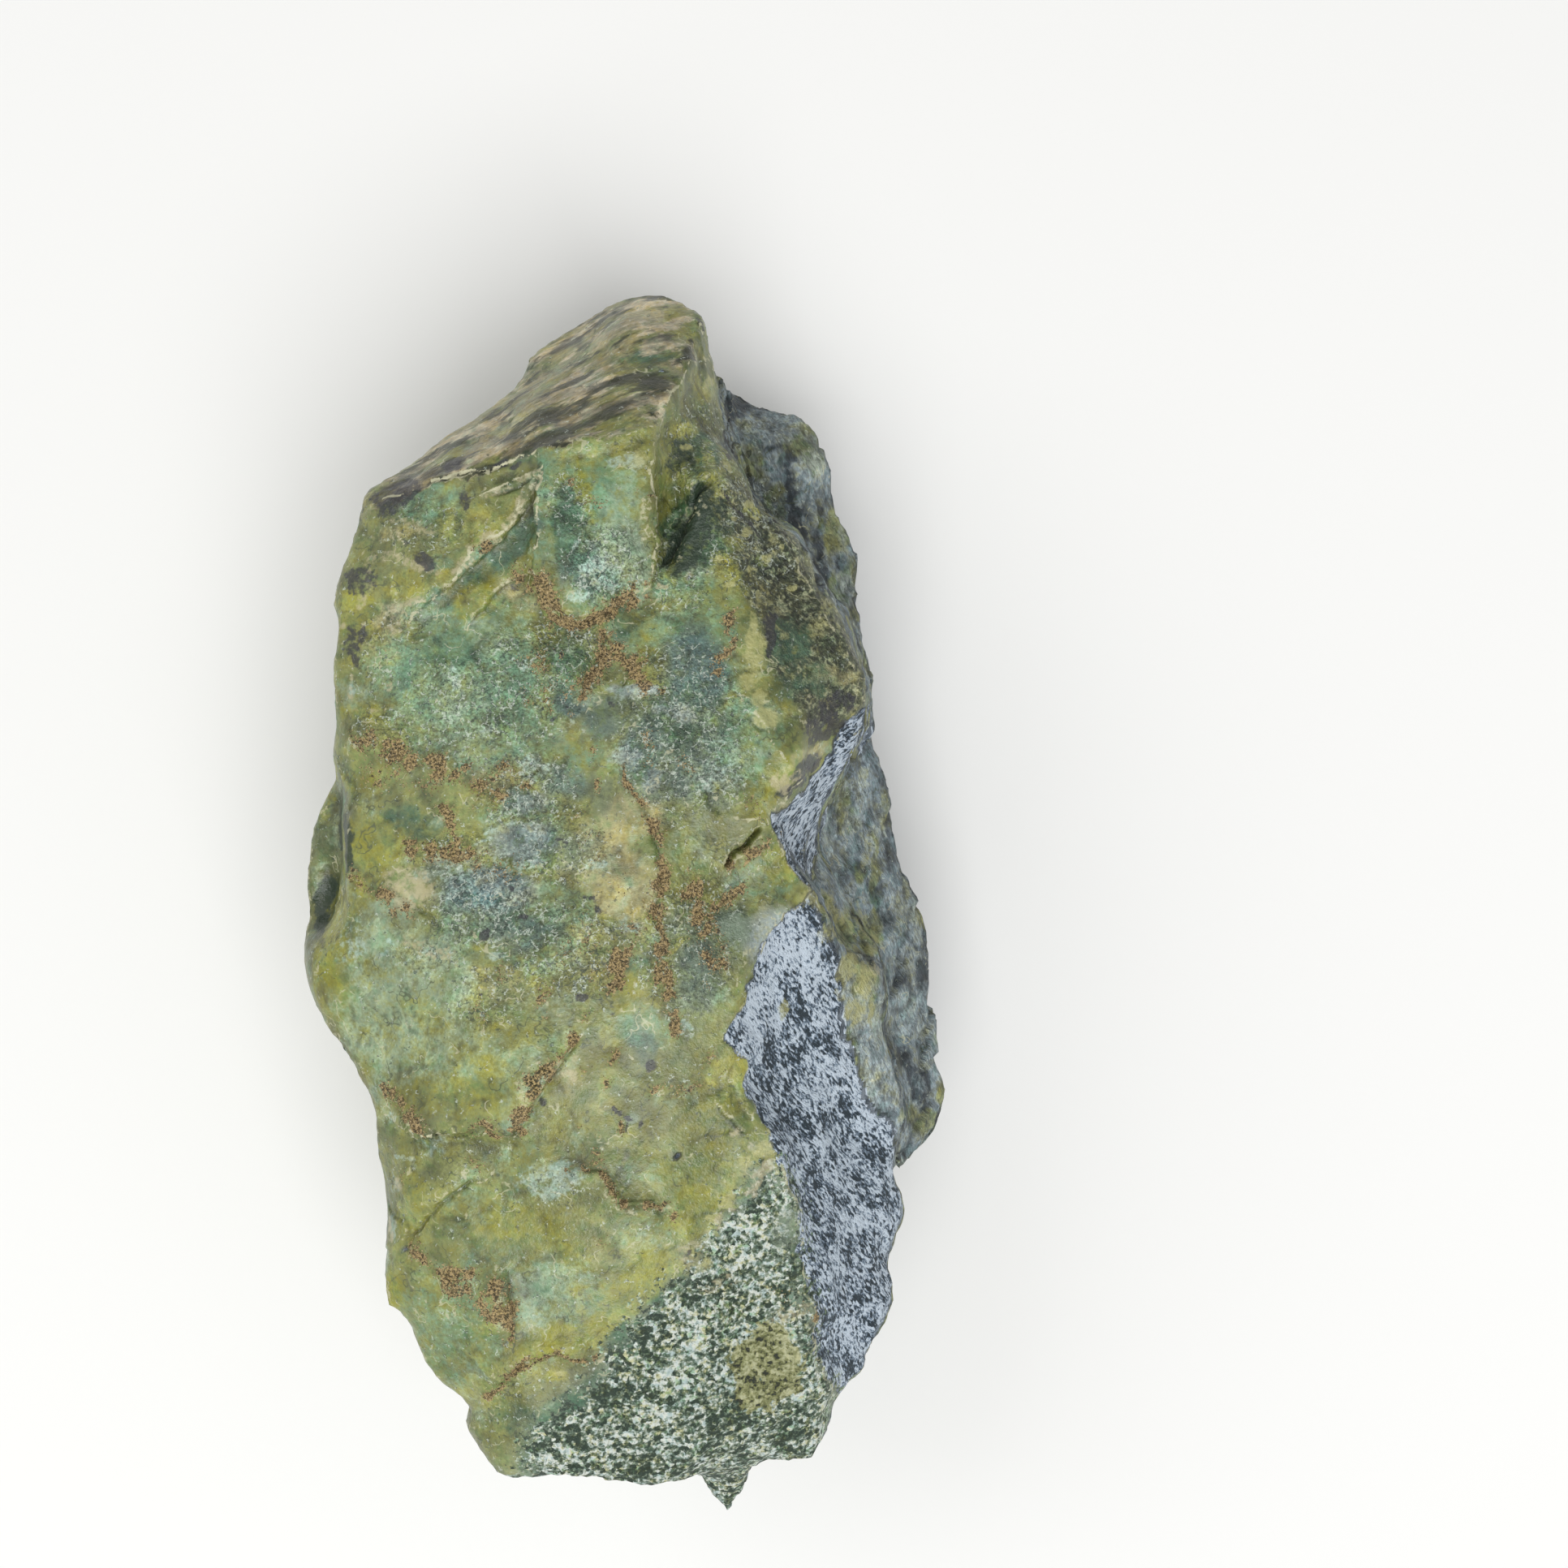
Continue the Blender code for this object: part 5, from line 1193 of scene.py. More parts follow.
@dataclass
class Stone:
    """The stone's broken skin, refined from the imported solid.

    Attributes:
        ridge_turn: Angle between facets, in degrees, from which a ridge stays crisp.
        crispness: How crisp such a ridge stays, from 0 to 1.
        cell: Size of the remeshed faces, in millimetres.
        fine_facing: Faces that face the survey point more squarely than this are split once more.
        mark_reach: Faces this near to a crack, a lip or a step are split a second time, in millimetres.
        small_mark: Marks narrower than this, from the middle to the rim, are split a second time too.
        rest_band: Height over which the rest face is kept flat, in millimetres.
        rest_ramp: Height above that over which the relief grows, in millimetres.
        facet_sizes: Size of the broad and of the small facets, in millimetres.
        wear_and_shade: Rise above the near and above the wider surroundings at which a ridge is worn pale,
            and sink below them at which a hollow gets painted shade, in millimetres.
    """

    ridge_turn: float = 30.0
    crispness: float = 0.7
    cell: float = 1.0
    fine_facing: float = 0.10
    mark_reach: float = 0.45
    small_mark: float = 0.62
    rest_band: float = 0.35
    rest_ramp: float = 1.5
    facet_sizes: tuple[float, float] = (6.5, 2.1)
    wear_and_shade: tuple[float, float] = (0.05, 0.22)
    survey: Survey = field(default_factory=Survey)

    def build(self) -> bpy.types.Object:
        """Makes the dressed stone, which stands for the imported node.

        Returns:
            The skin.
        """
        mesh = self.refined_mesh()
        stone = put_in_scene("serpentine_skin", mesh)
        points, normals = self.read(mesh)
        stone_map = StoneMap(points, normals, self.survey)
        soil = stone_map.soil()
        self.shape(mesh, stone_map, soil)
        self.paint(mesh, stone_map, soil)
        mesh.materials.clear()
        mesh.materials.append(SerpentineFinish().material())
        mesh.polygons.foreach_set("use_smooth", [True] * len(mesh.polygons))
        mesh.update()
        return stone

    def refined_mesh(self) -> bpy.types.Mesh:
        """A fine, even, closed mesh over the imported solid.

        Returns:
            The mesh, which is not shaped yet.
        """
        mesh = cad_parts[NODE].data.copy()
        shell = bmesh.new()
        shell.from_mesh(mesh)
        bmesh.ops.remove_doubles(shell, verts=shell.verts, dist=1e-6)
        crease = shell.edges.layers.float.new("crease_edge")
        for edge in shell.edges:
            if edge.is_manifold and edge.calc_face_angle(0.0) > math.radians(self.ridge_turn):
                edge[crease] = self.crispness
        shell.to_mesh(mesh)
        shell.free()
        holder = put_in_scene("skin_in_work", mesh)
        rounding = holder.modifiers.new("rounding", "SUBSURF")
        rounding.levels = rounding.render_levels = 1
        remesh = holder.modifiers.new("even", "REMESH")
        remesh.mode = "VOXEL"
        remesh.voxel_size = self.cell * MM
        graph = bpy.context.evaluated_depsgraph_get()
        even = bpy.data.meshes.new_from_object(holder.evaluated_get(graph), depsgraph=graph)
        bpy.data.objects.remove(holder)
        bpy.data.meshes.remove(mesh)
        self.split_facing(even)
        even.name = "serpentine_skin"
        return even

    def split_facing(self, mesh: bpy.types.Mesh) -> None:
        """Splits the faces that face the survey point, where the finest marks lie.

        Args:
            mesh: The mesh.
        """
        eye = Vector(self.survey.eye) * MM
        shell = bmesh.new()
        shell.from_mesh(mesh)
        chosen: set[bmesh.types.BMEdge] = set()
        for face in shell.faces:
            sight = (eye - face.calc_center_median()).normalized()
            if face.normal.dot(sight) > self.fine_facing:
                chosen.update(face.edges)
        bmesh.ops.subdivide_edges(shell, edges=list(chosen), cuts=1, use_grid_fill=True)
        bmesh.ops.smooth_vert(
            shell, verts=shell.verts, factor=0.5, use_axis_x=True, use_axis_y=True, use_axis_z=True
        )
        self.split_marked(shell)
        bmesh.ops.triangulate(shell, faces=[face for face in shell.faces if len(face.verts) > 4])
        shell.to_mesh(mesh)
        shell.free()

    def split_marked(self, shell: bmesh.types.BMesh) -> None:
        """Splits the faces along the flake steps and the cracks once more, so that their lips are crisp.

        Args:
            shell: The mesh in work.
        """
        shell.faces.ensure_lookup_table()
        middles = np.array([face.calc_center_median() for face in shell.faces]) / MM
        normals = np.array([face.normal for face in shell.faces])
        flat = self.survey.flat(middles)
        shown = self.survey.facing(middles, normals) > self.fine_facing
        marked = np.zeros(len(middles), bool)
        for *_, path in [*STEPS, *CRACKS, *RIDGES, *LIPS]:
            marked |= along_path(flat, path)[0] < self.mark_reach
        reach = self.mark_reach / DRAWING_STEP
        for column, row, length, width, _, *turn in itertools.chain(*SMALL_MARKS.values()):
            if min(length, width) * DRAWING_STEP < self.small_mark:
                marked |= in_patch(flat, (column, row, length + reach, width + reach, 100, *turn)) > 0.5
        edges = {edge for index in np.flatnonzero(marked & shown) for edge in shell.faces[index].edges}
        bmesh.ops.subdivide_edges(shell, edges=list(edges), cuts=1, use_grid_fill=True)

    def read(self, mesh: bpy.types.Mesh) -> tuple[np.ndarray, np.ndarray]:
        """The mesh's points in millimetres and its vertex normals.

        Args:
            mesh: The mesh.

        Returns:
            Both, with one row for each vertex.
        """
        normals = np.empty(len(mesh.vertices) * 3)
        mesh.vertices.foreach_get("normal", normals)
        return read_points(mesh) / MM, normals.reshape(-1, 3)

    def shape(self, mesh: bpy.types.Mesh, stone_map: StoneMap, soil: np.ndarray) -> None:
        """Moves the skin along its normals by the relief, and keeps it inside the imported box.

        Args:
            mesh: The mesh.
            stone_map: Where everything lies on the skin.
            soil: How much soil lies at each vertex.
        """
        resting = ease((stone_map.points[:, 2] - self.rest_band) / self.rest_ramp)
        points = stone_map.points + stone_map.normals * (self.relief(stone_map, soil) * resting)[:, None]
        low, high = (np.array(corner) / MM for corner in CAD_BOX)
        points = np.clip(points, low, high)
        points[points[:, 2] < self.rest_band, 2] = low[2]
        mesh.vertices.foreach_set("co", (points * MM).ravel())

    def relief(self, stone_map: StoneMap, soil: np.ndarray) -> np.ndarray:
        """The height of the relief at each vertex, in millimetres.

        Args:
            stone_map: Where everything lies on the skin.
            soil: How much soil lies at each vertex.

        Returns:
            One height for each vertex.
        """
        points, zones = stone_map.points, stone_map.zones
        streaked = np.maximum(zones[Zone.MAIN_FLANK], zones[Zone.SMALL_FLANK])
        grainy = np.maximum(zones[Zone.SPECKLED], zones[Zone.GRAINED])
        lobe = zones[Zone.LOBE_SIDE]
        waxy = np.clip(1 - streaked - grainy - lobe, 0.0, 1.0)
        flow = stone_map.flow() / MM
        broad, small = (facets(points, size, seed) for size, seed in zip(self.facet_sizes, (51.0, 52.0)))
        height = waxy * (0.17 * broad + 0.06 * small + 0.06 * lumps(points, 1.1, 42.0, 2))
        height += streaked * (0.15 * broad + 0.2 * lumps(flow, 0.9, 43.0, 2) + 0.2 * lumps(flow, 2.4, 44.0))
        grains, blocks = lumps(points, 0.95, 45.0, 2), lumps(points, 2.6, 46.0)
        height += grainy * (0.12 * broad + 0.2 * grains + 0.2 * blocks)
        height += lobe * (0.45 * broad + 0.2 * small + 0.2 * lumps(flow, 2.4, 47.0, 2))
        height += soil * (0.06 + 0.14 * lumps(points, 0.7, 49.0))
        lifted = stone_map.strongest(STEPS, step_profile)
        raised = stone_map.strongest(RIDGES, ridge_profile)
        sunk = stone_map.strongest(CRACKS, crack_profile)
        return height + stone_map.shown * (lifted + raised - sunk)

    def bend(self, mesh: bpy.types.Mesh, rounds: int) -> np.ndarray:
        """How far each vertex stands out from its neighbours: above 0 on ridges, below 0 in hollows.

        Args:
            mesh: The shaped mesh.
            rounds: How many times the surroundings are evened out first, which widens what is felt.

        Returns:
            One value for each vertex, in millimetres.
        """
        points, normals = self.read(mesh)
        ends = np.empty(len(mesh.edges) * 2, np.int64)
        mesh.edges.foreach_get("vertices", ends)
        ends = ends.reshape(-1, 2)
        count = np.bincount(ends.ravel(), minlength=len(points))[:, None]
        around = points
        for _ in range(rounds):
            total = np.zeros_like(points)
            np.add.at(total, ends[:, 0], around[ends[:, 1]])
            np.add.at(total, ends[:, 1], around[ends[:, 0]])
            around = total / count
        return np.einsum("ij,ij->i", points - around, normals)

    def paint(self, mesh: bpy.types.Mesh, stone_map: StoneMap, soil: np.ndarray) -> None:
        """Writes the colours, the zone masks, a mask of painted shade for the hollows, and the streak
        coordinates that the finish reads.

        Args:
            mesh: The mesh.
            stone_map: Where everything lies on the skin.
            soil: How much soil lies at each vertex.
        """
        zones = stone_map.zones
        ground = stone_map.ground()
        waxy = 1 - np.maximum.reduce([zones[Zone.MAIN_FLANK], zones[Zone.LOBE_SIDE], zones[Zone.SPECKLED]])
        # How far the skin stands out: ridges are worn pale, and hollows get painted shade.
        stands_out = self.bend(mesh, 2) / self.wear_and_shade[0] + self.bend(mesh, 8) / self.wear_and_shade[1]
        colour = np.column_stack([ground, np.ones(len(stone_map.points))])
        layer = mesh.attributes.new("ground", "FLOAT_COLOR", "POINT")
        layer.data.foreach_set("color", colour.ravel())
        masks = {
            "fibre": np.maximum(zones[Zone.MAIN_FLANK], zones[Zone.SMALL_FLANK]),
            "lobe": zones[Zone.LOBE_SIDE],
            "speckle": zones[Zone.SPECKLED],
            "grain": zones[Zone.GRAINED],
            "blotch": zones[Zone.BLOTCH],
            "brow": zones[Zone.BROW],
            "soil": soil,
            "hackle": stone_map.hackle(),
            "lip": np.maximum(stone_map.lips(), 0.45 * waxy * ease(stands_out - 1.0)),
            # Painted shade: skin that sinks below its surroundings is marked to be darkened in the finish.
            "painted_hollow_shade": ease(-stands_out - 0.4),
        }
        for hue, weight in stone_map.hues().items():
            masks[hue.name.lower()] = weight
        for name, weight in masks.items():
            layer = mesh.attributes.new(name, "FLOAT", "POINT")
            layer.data.foreach_set("value", np.clip(weight, 0.0, 1.0))
        layer = mesh.attributes.new("flow", "FLOAT_VECTOR", "POINT")
        layer.data.foreach_set("vector", stone_map.flow().ravel())


class ZoneTones(Enum):
    """Dark, middle and light tone of a patterned zone, as sRGB hex values."""

    FIBRE = ("24333c", "75879a", "cbd8e4")
    SPECKLE = ("283a2c", "6b7c66", "d6dcd4")
    GRAIN = ("1f241a", "50563d", "b4b68f")
    BLOTCH = ("25281a", "787b48", "b0b082")
    SOIL = ("33291a", "71603e", "ad9668")


@dataclass(frozen=True)
class Layer:
    """How a mineral lies over the ones before it.

    Attributes:
        edge: Width of its rim, from 0, cut off, to 1, fading out.
        cover: How much it hides of what lies below it.
        fringe: How strongly its rim is broken up.
        fine: True where small fringes break its rim, false where islands do.
        top: True where it lies over the patterned zones too.
    """

    edge: float
    cover: float
    fringe: float = 2.2
    fine: bool = False
    top: bool = False


# The minerals, in the order in which they lie over each other.
LAYERS: dict[Hue, Layer] = {
    Hue.SHADE: Layer(0.8, 0.75),
    Hue.SAND: Layer(0.7, 0.85),
    Hue.TAN: Layer(0.6, 0.85),
    Hue.TEAL: Layer(0.7, 0.85),
    Hue.BLUE: Layer(0.6, 0.85),
    Hue.DEEP: Layer(0.6, 0.85),
    Hue.MINT: Layer(0.6, 0.8),
    Hue.YELLOW: Layer(0.6, 0.85),
    Hue.MOSS: Layer(0.6, 0.85, 2.6),
    Hue.NIGHT: Layer(0.5, 0.85, 2.4),
    Hue.FROST: Layer(0.5, 0.75, 2.4),
    Hue.FLAKE: Layer(0.8, 0.8, 3.0, True),
    Hue.ICE: Layer(0.7, 0.6, 4.2, True),
    Hue.LENS: Layer(0.6, 0.7, 2.6, True, True),
    # Partly dark green mineral, partly painted shade in the notch and the shelf hollows.
    Hue.NOTCH_GREEN_AND_SHADE: Layer(0.5, 0.92, 2.4, True, True),
    Hue.CITRON: Layer(0.8, 0.75, 3.2, True, True),
    Hue.BONE: Layer(0.6, 0.62, 4.6, True, True),
    Hue.CHAR: Layer(0.5, 0.82, 3.6, True, True),
}


class Kind(Enum):
    """The nodes that the finish is mixed from: Blender's name for each, and its settings."""

    ADD = ("ShaderNodeMath", {"operation": "ADD"})
    SUBTRACT = ("ShaderNodeMath", {"operation": "SUBTRACT"})
    MULTIPLY = ("ShaderNodeMath", {"operation": "MULTIPLY"})
    MULTIPLY_ADD = ("ShaderNodeMath", {"operation": "MULTIPLY_ADD"})
    ABSOLUTE = ("ShaderNodeMath", {"operation": "ABSOLUTE"})
    RANGE = ("ShaderNodeMapRange", {})
    MIX = ("ShaderNodeMix", {"data_type": "RGBA"})
    TINT = ("ShaderNodeMix", {"data_type": "RGBA", "blend_type": "MULTIPLY"})
    BLEND = ("ShaderNodeMix", {"data_type": "FLOAT"})
    MOVE = ("ShaderNodeVectorMath", {"operation": "ADD"})
    SCALE = ("ShaderNodeVectorMath", {"operation": "SCALE"})


@dataclass
class SerpentineFinish:
    """Serpentine as broken: waxy where it parted on one plane, dull and fibrous or granular on the flanks.

    Pattern sizes are in millimetres. The tree is the one of the material that is being made.
    """

    island: float = 2.4
    fringe: float = 0.6
    cloud: float = 3.0
    plate: float = 2.6
    tooth: float = 0.3
    chip: float = 0.45
    vein: float = 9.0
    crinkle: float = 1.45
    fibre: float = 0.22
    speckle: float = 0.42
    crumb: float = 0.42
    soil_grain: float = 0.26
    streak: float = 2.1
    waxy_roughness: float = 0.34
    ior: float = 1.56
    bump_height: float = 0.45
    tree: Tree | None = None

    def material(self) -> bpy.types.Material:
        """Makes the material.

        Returns:
            A node material that reads the skin's own attributes and its Object coordinates.
        """
        made = bpy.data.materials.new("broken_serpentine")
        made.use_nodes = True
        self.tree = made.node_tree
        self.tree.nodes.clear()
        place = add_node(self.tree, "ShaderNodeTexCoord").outputs["Object"]
        flow = add_node(self.tree, "ShaderNodeAttribute", {"attribute_name": "flow"}).outputs["Vector"]
        coarse = self.pattern(place, self.island, 4.0, "Color")
        small = self.pattern(place, self.fringe, 3.0, "Color")
        islands = self.split(self.add(Kind.MIX, 0.35, coarse, small))
        fringes = self.split(self.add(Kind.MIX, 0.62, coarse, small))
        tooth = self.pattern(place, self.tooth, 2.0)
        colour = add_node(self.tree, "ShaderNodeAttribute", {"attribute_name": "ground"}).outputs["Color"]
        slivers = self.blocky(flow, self.fibre, coarse, 0.75)
        blocks = self.blocky(place, self.speckle, coarse, 0.5)
        sugary = self.toned(blocks, ZoneTones.GRAIN, (0.3, 0.5, 0.72))
        colour = self.zone(colour, "grain", fringes[0], sugary, 0.8, 3.0)
        colour = self.minerals(colour, islands, fringes, top=False)
        colour = self.streaks(colour, flow)
        colour = self.waxy_colour(place, colour, tooth, islands, self.split(small))
        colour = self.slivered(colour, slivers)
        paler = self.add(Kind.MULTIPLY_ADD, self.mask("frost"), 0.12, slivers)
        shifted = self.add(Kind.MULTIPLY_ADD, self.mask("night"), -0.14, paler)
        streaky = self.toned(shifted, ZoneTones.FIBRE, (0.37, 0.48, 0.59))
        colour = self.zone(colour, "fibre", fringes[0], streaky, 1.0)
        colour = self.zone(colour, "speckle", fringes[1], self.speckled(blocks, fringes), 1.0, 3.6)
        dotted = self.toned(blocks, ZoneTones.BLOTCH, (0.3, 0.42, 0.7))
        colour = self.zone(colour, "blotch", islands[0], dotted, 0.85, 3.0)
        colour = self.minerals(colour, islands, fringes, top=True)
        colour = self.lips(colour, fringes[1])
        colour = self.soiled(place, colour)
        look = {
            "Base Color": colour,
            "Roughness": self.roughness(islands[1]),
            "Normal": self.bump(slivers, blocks, tooth, fringes[2]),
            "IOR": self.ior,
        }
        shader = add_node(self.tree, "ShaderNodeBsdfPrincipled", inputs=look)
        add_node(self.tree, "ShaderNodeOutputMaterial", inputs={"Surface": shader.outputs["BSDF"]})
        return made

    def add(self, kind: Kind, *values: Socket | float | tuple[float, ...]) -> Socket:
        """Adds one node, which works on the values in turn, and gives its result."""
        node = add_node(self.tree, *kind.value, values)
        return next(socket for socket in node.outputs if socket.enabled)

    def mask(self, name: str) -> Socket:
        """One of the masks that the skin carries, from 0 to 1."""
        return add_node(self.tree, "ShaderNodeAttribute", {"attribute_name": name}).outputs["Fac"]

    def pattern(self, place: Socket, size: float, detail: float, output: str = "Fac") -> Socket:
        """A noise pattern of that size, in millimetres, as one value or as the three of a Color."""
        inputs = {"Vector": place, "Scale": 1.0 / (size * MM), "Detail": detail, "Roughness": 0.6}
        return add_node(self.tree, "ShaderNodeTexNoise", inputs=inputs).outputs[output]

    def split(self, colour: Socket) -> list[Socket]:
        """The three patterns that one colour carries."""
        return list(add_node(self.tree, "ShaderNodeSeparateColor", inputs=(colour,)).outputs)

    def cells(self, place: Socket, size: float, bent: Socket) -> Socket:
        """One chance value from 0 to 1 for each small cell.

        Args:
            place: Coordinates of the pattern.
            size: Size of a cell, in millimetres.
            bent: A noisy colour that bends the borders of the cells.

        Returns:
            The value.
        """
        moved = self.add(Kind.MOVE, place, self.add(Kind.SCALE, bent, 0.7 * size * MM))
        inputs = {"Vector": moved, "Scale": 1.0 / (size * MM)}
        return self.split(add_node(self.tree, "ShaderNodeTexVoronoi", inputs=inputs).outputs["Color"])[0]

    def blocky(self, place: Socket, size: float, coarse: Socket, strength: float) -> Socket:
        """A pattern of small blocks in noise, darker in some stretches and lighter in others.

        Args:
            place: Coordinates of the pattern.
            size: Size of the pattern, in millimetres.
            coarse: A broad noisy colour, whose last pattern says which stretches are which.
            strength: How strongly a stretch shifts the pattern.

        Returns:
            A value about 0.5.
        """
        bent = self.pattern(place, 0.8 * size, 2.0, "Color")
        darkest, lightest = -0.16 - 0.2 * strength, -0.16 + 0.2 * strength
        shift = self.add(Kind.RANGE, self.split(coarse)[2], 0.3, 0.7, darkest, lightest)
        block = self.add(Kind.MULTIPLY_ADD, self.cells(place, 1.25 * size, bent), 0.32, shift)
        return self.add(Kind.ADD, self.pattern(place, size, 3.0), block)

    def toned(
        self, pattern: Socket, tones: ZoneTones, steps: tuple[float, float, float] = (0.41, 0.5, 0.6)
    ) -> Socket:
        """A pattern drawn in the three tones of a zone, which are reached at the three steps.

        Args:
            pattern: A pattern about 0.5.
            tones: The dark, middle and light tone.
            steps: The values at which each tone is reached.

        Returns:
            The colour.
        """
        dark, middle, light = (linear(tone) for tone in tones.value)
        low = self.add(Kind.MIX, self.add(Kind.RANGE, pattern, steps[0], steps[1], 0.0, 1.0), dark, middle)
        return self.add(Kind.MIX, self.add(Kind.RANGE, pattern, steps[1], steps[2], 0.0, 1.0), low, light)

    def minerals(
        self, under: Socket, islands: Sequence[Socket], fringes: Sequence[Socket], top: bool
    ) -> Socket:
        """Lays the minerals over a colour, one after the other.

        Args:
            under: The colour below.
            islands: Three broad ragged patterns.
            fringes: Three fine ragged patterns.
            top: Whether to lay those that lie over the patterned zones, or the others.

        Returns:
            The colour with them.
        """
        for index, (hue, layer) in enumerate(LAYERS.items()):
            if layer.top == top:
                ragged = fringes if layer.fine else islands
                under = self.layer(under, hue, layer, ragged[index % 3])
        return under

    def layer(self, under: Socket, hue: Hue, layer: Layer, ragged: Socket) -> Socket:
        """Lays one mineral over a colour: solid where its mask is strong, in islands where it is weak.

        Args:
            under: The colour below.
            hue: The mineral.
            layer: How it lies over the others.
            ragged: A pattern that breaks up the rim.

        Returns:
            The colour of both.
        """
        mask = self.mask(hue.name.lower())
        reach = self.add(Kind.MULTIPLY_ADD, ragged, layer.fringe, mask)
        middle = 0.5 + 0.5 * layer.fringe
        start, end = middle - layer.edge / 2, middle + layer.edge / 2
        share = self.add(Kind.RANGE, reach, start, end, 0.0, layer.cover)
        share = self.add(Kind.MULTIPLY, share, self.add(Kind.RANGE, mask, 0.02, 0.3, 0.0, 1.0))
        return self.add(Kind.MIX, share, under, linear(hue))

    def zone(
        self, under: Socket, mask: str, ragged: Socket, over: Socket, cover: float, fringe: float = 1.5
    ) -> Socket:
        """Lays a zone's colour over another, with a ragged edge.

        Args:
            under: The colour below.
            mask: The attribute that says where the zone is.
            ragged: The pattern that breaks the edge.
            over: The zone's colour.
            cover: How much of the colour below it hides, from 0 to 1.
            fringe: How strongly the edge is broken up.

        Returns:
            The colour of both.
        """
        inside = self.mask(mask)
        reach = self.add(Kind.MULTIPLY_ADD, ragged, fringe, inside)
        share = self.add(Kind.RANGE, reach, 0.38 + 0.5 * fringe, 0.62 + 0.5 * fringe, 0.0, cover)
        share = self.add(Kind.MULTIPLY, share, self.add(Kind.RANGE, inside, 0.0, 0.2, 0.0, 1.0))
        return self.add(Kind.MIX, share, under, over)

    def streaks(self, under: Socket, flow: Socket) -> Socket:
        """Dark and pale streaks drawn out across the brow.

        Args:
            under: The colour below.
            flow: Coordinates squeezed along the streaks.

        Returns:
            The colour with them.
        """
        lines = self.split(self.pattern(flow, self.streak, 4.0, "Color"))
        brow = self.mask("brow")
        for line, ends, cover, tone in (
            (lines[2], (0.5, 0.58), 0.75, Hue.STREAK_OLIVE),
            (lines[1], (0.49, 0.56), 0.88, Hue.STREAK_PALE),
            (lines[0], (0.46, 0.4), 0.88, Hue.STREAK_DARK),
        ):
            share = self.add(Kind.MULTIPLY, self.add(Kind.RANGE, line, *ends, 0.0, cover), brow)
            under = self.add(Kind.MIX, share, under, linear(tone))
        reach = self.add(Kind.MULTIPLY_ADD, lines[0], -3.2, self.mask("umber"))
        share = self.add(Kind.RANGE, reach, -1.35, -0.65, 0.0, 0.88)
        return self.add(Kind.MIX, share, under, linear(Hue.UMBER))

    def waxy_colour(
        self,
        place: Socket,
        under: Socket,
        tooth: Socket,
        islands: Sequence[Socket],
        fringes: Sequence[Socket],
    ) -> Socket:
        """Clouds, plates and hairlines in the minerals, painted shade in the hollows, and grooves and
        painted glints where they are hackly.

        Args:
            place: Coordinates on the stone.
            under: The colour below.
            tooth: A pattern of fine teeth.
            islands: Three broad ragged patterns.
            fringes: Three fine ragged patterns.

        Returns:
            The colour with them.
        """
        hackle = self.mask("hackle")
        clouds = self.pattern(place, self.cloud, 3.0)
        plates = self.cells(place, self.plate, self.pattern(place, 0.8 * self.plate, 2.0, "Color"))
        scales = self.cells(place, 0.35 * self.plate, self.pattern(place, 0.3 * self.plate, 1.0, "Color"))
        shade = self.add(Kind.RANGE, clouds, 0.3, 0.7, 0.73, 1.27)
        for factor in (
            self.add(Kind.RANGE, plates, 0.0, 1.0, 0.83, 1.17),
            self.uneven(scales, self.add(Kind.RANGE, hackle, 0.0, 1.0, 0.06, 0.5)),
            self.uneven(tooth, self.add(Kind.RANGE, hackle, 0.0, 1.0, 0.5, 2.8)),
            # painted shade: the hollows are darkened to six tenths
            self.add(Kind.RANGE, self.mask("painted_hollow_shade"), 0.0, 1.0, 1.0, 0.6),
        ):
            shade = self.add(Kind.MULTIPLY, shade, factor)
        colour = self.add(Kind.SCALE, under, shade)
        colour = self.tinted(colour, islands[1], (0.5, 0.64, 0.9), Tint.CREAM)
        colour = self.tinted(colour, islands[1], (0.5, 0.36, 0.9), Tint.WATER)
        colour = self.hairlines(place, colour, clouds)
        return self.crinkled(place, colour, hackle, fringes[2])

    def uneven(self, pattern: Socket, contrast: Socket) -> Socket:
        """A factor about 1, from a pattern about 0.5 and how strongly it shows."""
        return self.add(Kind.MULTIPLY_ADD, self.add(Kind.SUBTRACT, pattern, 0.5), contrast, 1.0)

    def tinted(
        self, under: Socket, pattern: Socket, reach: tuple[float, float, float], tint: Tint
    ) -> Socket:
        """A colour with a tint where a pattern passes from the first to the second value of its reach.

        Args:
            under: The colour below.
            pattern: The pattern that says where the tint lies.
            reach: Where the tint starts, where it is full, and how strong it is there.
            tint: The colour to multiply by.

        Returns:
            The tinted colour.
        """
        start, full, cover = reach
        share = self.add(Kind.RANGE, pattern, start, full, 0.0, cover)
        return self.add(Kind.TINT, share, under, linear(tint))

    def crinkled(self, place: Socket, under: Socket, hackle: Socket, patchy: Socket) -> Socket:
        """Painted glints, pale crinkles and chips of painted highlight, and dark crinkles where small
        flakes lift, close together where the skin is hackly.

        Args:
            place: Coordinates on the stone.
            under: The colour below.
            hackle: How hackly the skin is.
            patchy: A pattern that is high where crinkles lie.

        Returns:
            The colour with them.
        """
        winding = self.split(self.pattern(place, self.crinkle, 3.0, "Color"))
        gate = self.add(Kind.MULTIPLY_ADD, hackle, 0.2, patchy)
        # The pale crinkles in Hue.GLINT are painted highlights.
        for line, hue, cover in ((winding[0], Hue.GLINT, 0.62), (winding[1], Hue.GROOVE, 0.7)):
            drawn = self.line(line, 0.5, (0.03, 0.01), cover)
            drawn = self.add(Kind.MULTIPLY, drawn, self.add(Kind.RANGE, gate, 0.6, 0.68, 0.0, 1.0))
            under = self.add(Kind.MIX, drawn, under, linear(hue))
        chips = self.pattern(place, self.chip, 3.0)
